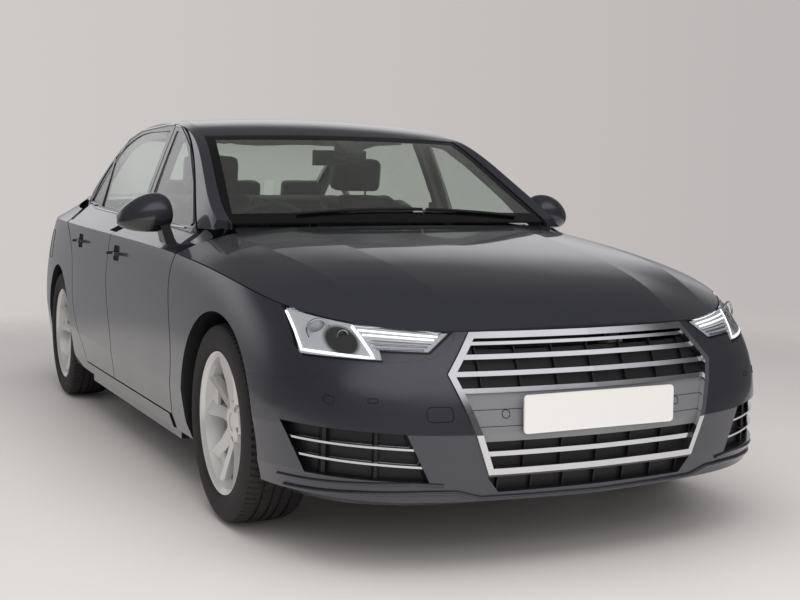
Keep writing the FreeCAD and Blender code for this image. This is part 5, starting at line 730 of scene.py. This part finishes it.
def pad(name, size, centre, lean, channels=0):
    """A puffed pad: a block with rounded edges, seams pressed across it, swollen between them."""
    bpy.ops.object.select_all(action="DESELECT")
    bpy.ops.mesh.primitive_cube_add(size=1, location=(0, 0, 0))
    piece = bpy.context.object
    piece.name = name
    bpy.ops.object.mode_set(mode="EDIT")
    bpy.ops.mesh.select_all(action="SELECT")
    bpy.ops.transform.resize(value=size)
    bpy.ops.mesh.bevel(offset=min(size) * 0.32, segments=3, affect="EDGES")
    bpy.ops.mesh.subdivide(number_cuts=5)
    bm = bmesh.from_edit_mesh(piece.data)
    for vertex in bm.verts:
        # From -1 to 1 along, across and through the pad
        a, b, c = vertex.co.x / size[0] * 2, vertex.co.y / size[1] * 2, vertex.co.z / size[2] * 2
        swell = (1 - a * a) * (1 - b * b)
        groove = 0.0
        if channels:
            groove = math.exp(-(((a * 0.5 + 0.5) * channels % 1.0 - 0.5) * 9) ** 2)
        vertex.co.z += size[2] * (0.16 * swell - 0.09 * groove) * (1 if c > 0 else 0.3)
    bmesh.update_edit_mesh(piece.data)
    bpy.ops.mesh.select_all(action="SELECT")
    bpy.ops.mesh.vertices_smooth(factor=0.5, repeat=3)
    bpy.ops.object.mode_set(mode="OBJECT")
    smoothing = piece.modifiers.new("rounding", "SUBSURF")
    smoothing.levels = 1
    bpy.ops.object.modifier_apply(modifier="rounding")
    bpy.ops.object.shade_smooth()
    turn = Matrix.Rotation(math.radians(lean), 4, "Y")
    piece.data.transform(Matrix.Translation(centre) @ turn)
    piece.data.materials.append(leather)
    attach(piece, "body")
    return piece


# Each pad of a front seat: size, distance ahead of the seat's middle, distance to one side, height, lean in
# degrees, and number of channels
FRONT_PADS = [
    ("cushion_%s", (0.50, 0.32, 0.13), 0.020, 0.0, 0.425, -4, 4),
    ("seat_back_%s", (0.60, 0.30, 0.11), -0.275, 0.0, 0.770, -76, 5),
    ("headrest_%s", (0.16, 0.25, 0.10), -0.335, 0.0, 1.165, -80, 0),
    ("seat_shell_%s", (0.62, 0.42, 0.06), -0.335, 0.0, 0.740, -76, 0),
    ("seat_base_%s", (0.44, 0.40, 0.16), -0.010, 0.0, 0.335, 0, 0),
    ("bolster_%s_-1", (0.50, 0.095, 0.16), 0.010, -0.195, 0.440, -4, 0),
    ("wing_%s_-1", (0.56, 0.085, 0.15), -0.255, -0.185, 0.760, -76, 0),
    ("bolster_%s_1", (0.50, 0.095, 0.16), 0.010, 0.195, 0.440, -4, 0),
    ("wing_%s_1", (0.56, 0.085, 0.15), -0.255, 0.185, 0.760, -76, 0)]
FRONT_SEAT_X = 0.017
for side, y in (("left", 0.368), ("right", -0.368)):
    pads = [
        pad(name % side, size, (FRONT_SEAT_X + forward, y + beside, up), lean, channels)
        for name, size, forward, beside, up, lean, channels in FRONT_PADS]
    for post in (-0.055, 0.055):
        foot, top = (FRONT_SEAT_X - 0.345, y + post, 1.03), (FRONT_SEAT_X - 0.335, y + post, 1.12)
        strip("headrest_post_%s_%d" % (side, round(post * 1000)), [foot, top], 0.006, chrome, "body")
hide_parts("front_seats")
bench = pad("bench_cushion", (0.52, 1.10, 0.15), (-0.780, 0.0, 0.440), -5, 3)
pad("bench_back", (0.62, 1.10, 0.13), (-0.965, 0.0, 0.760), -72, 4)
pad("bench_base", (0.48, 1.06, 0.20), (-0.790, 0.0, 0.320), 0)
for y in (-0.36, 0.0, 0.36):
    pad("bench_headrest_%d" % round(y * 100), (0.13, 0.23, 0.09), (-1.045, y, 1.075), -78)
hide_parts("rear_bench")

# Plate: pressed aluminium under white reflective film, with rounded corners and a raised rim, screwed to the
# bumper and left blank.
# Reflective film: warm white, satin. Its glass beads are drawn 0.7 mm wide, coarser than real ones, to show
film, tree, shader, place = new_material("white_reflective_film", Roughness=0.35, IOR=1.5)
beads = add_node(tree, "ShaderNodeTexVoronoi", {"Vector": place, "Scale": 1500.0})
colour = add_node(tree, "ShaderNodeMix", {
    "Factor": beads, 6: linear("#dcdad6"), 7: linear("#d2d0cc")}, data_type="RGBA")
feed(tree, shader, {"Base Color": colour})
low_corner, high_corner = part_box("front_plate")
bpy.ops.object.select_all(action="DESELECT")
bpy.ops.mesh.primitive_cube_add(size=1, location=(0, 0, 0))
plate = bpy.context.object
plate.name = "blank_plate"
bpy.ops.object.mode_set(mode="EDIT")
bpy.ops.mesh.select_all(action="SELECT")
bpy.ops.transform.resize(value=[b - a for a, b in zip(low_corner, high_corner)])
bpy.ops.mesh.select_all(action="DESELECT")
bm = bmesh.from_edit_mesh(plate.data)
for edge in bm.edges:
    along = edge.verts[0].co - edge.verts[1].co
    edge.select = abs(along.x) > 0.9 * along.length
bmesh.update_edit_mesh(plate.data)
bpy.ops.mesh.bevel(offset=0.012, segments=6, affect="EDGES")
bpy.ops.mesh.select_all(action="DESELECT")
bm = bmesh.from_edit_mesh(plate.data)
for face in bm.faces:
    face.select = face.normal.x > 0.9
bmesh.update_edit_mesh(plate.data)
bpy.ops.mesh.inset(thickness=0.004, depth=-0.0006)
bpy.ops.object.mode_set(mode="OBJECT")
plate.data.transform(Matrix.Translation([(a + b) / 2 for a, b in zip(low_corner, high_corner)]))
plate.data.materials.append(film)
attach(plate, "body")
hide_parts("front_plate")

low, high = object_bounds()
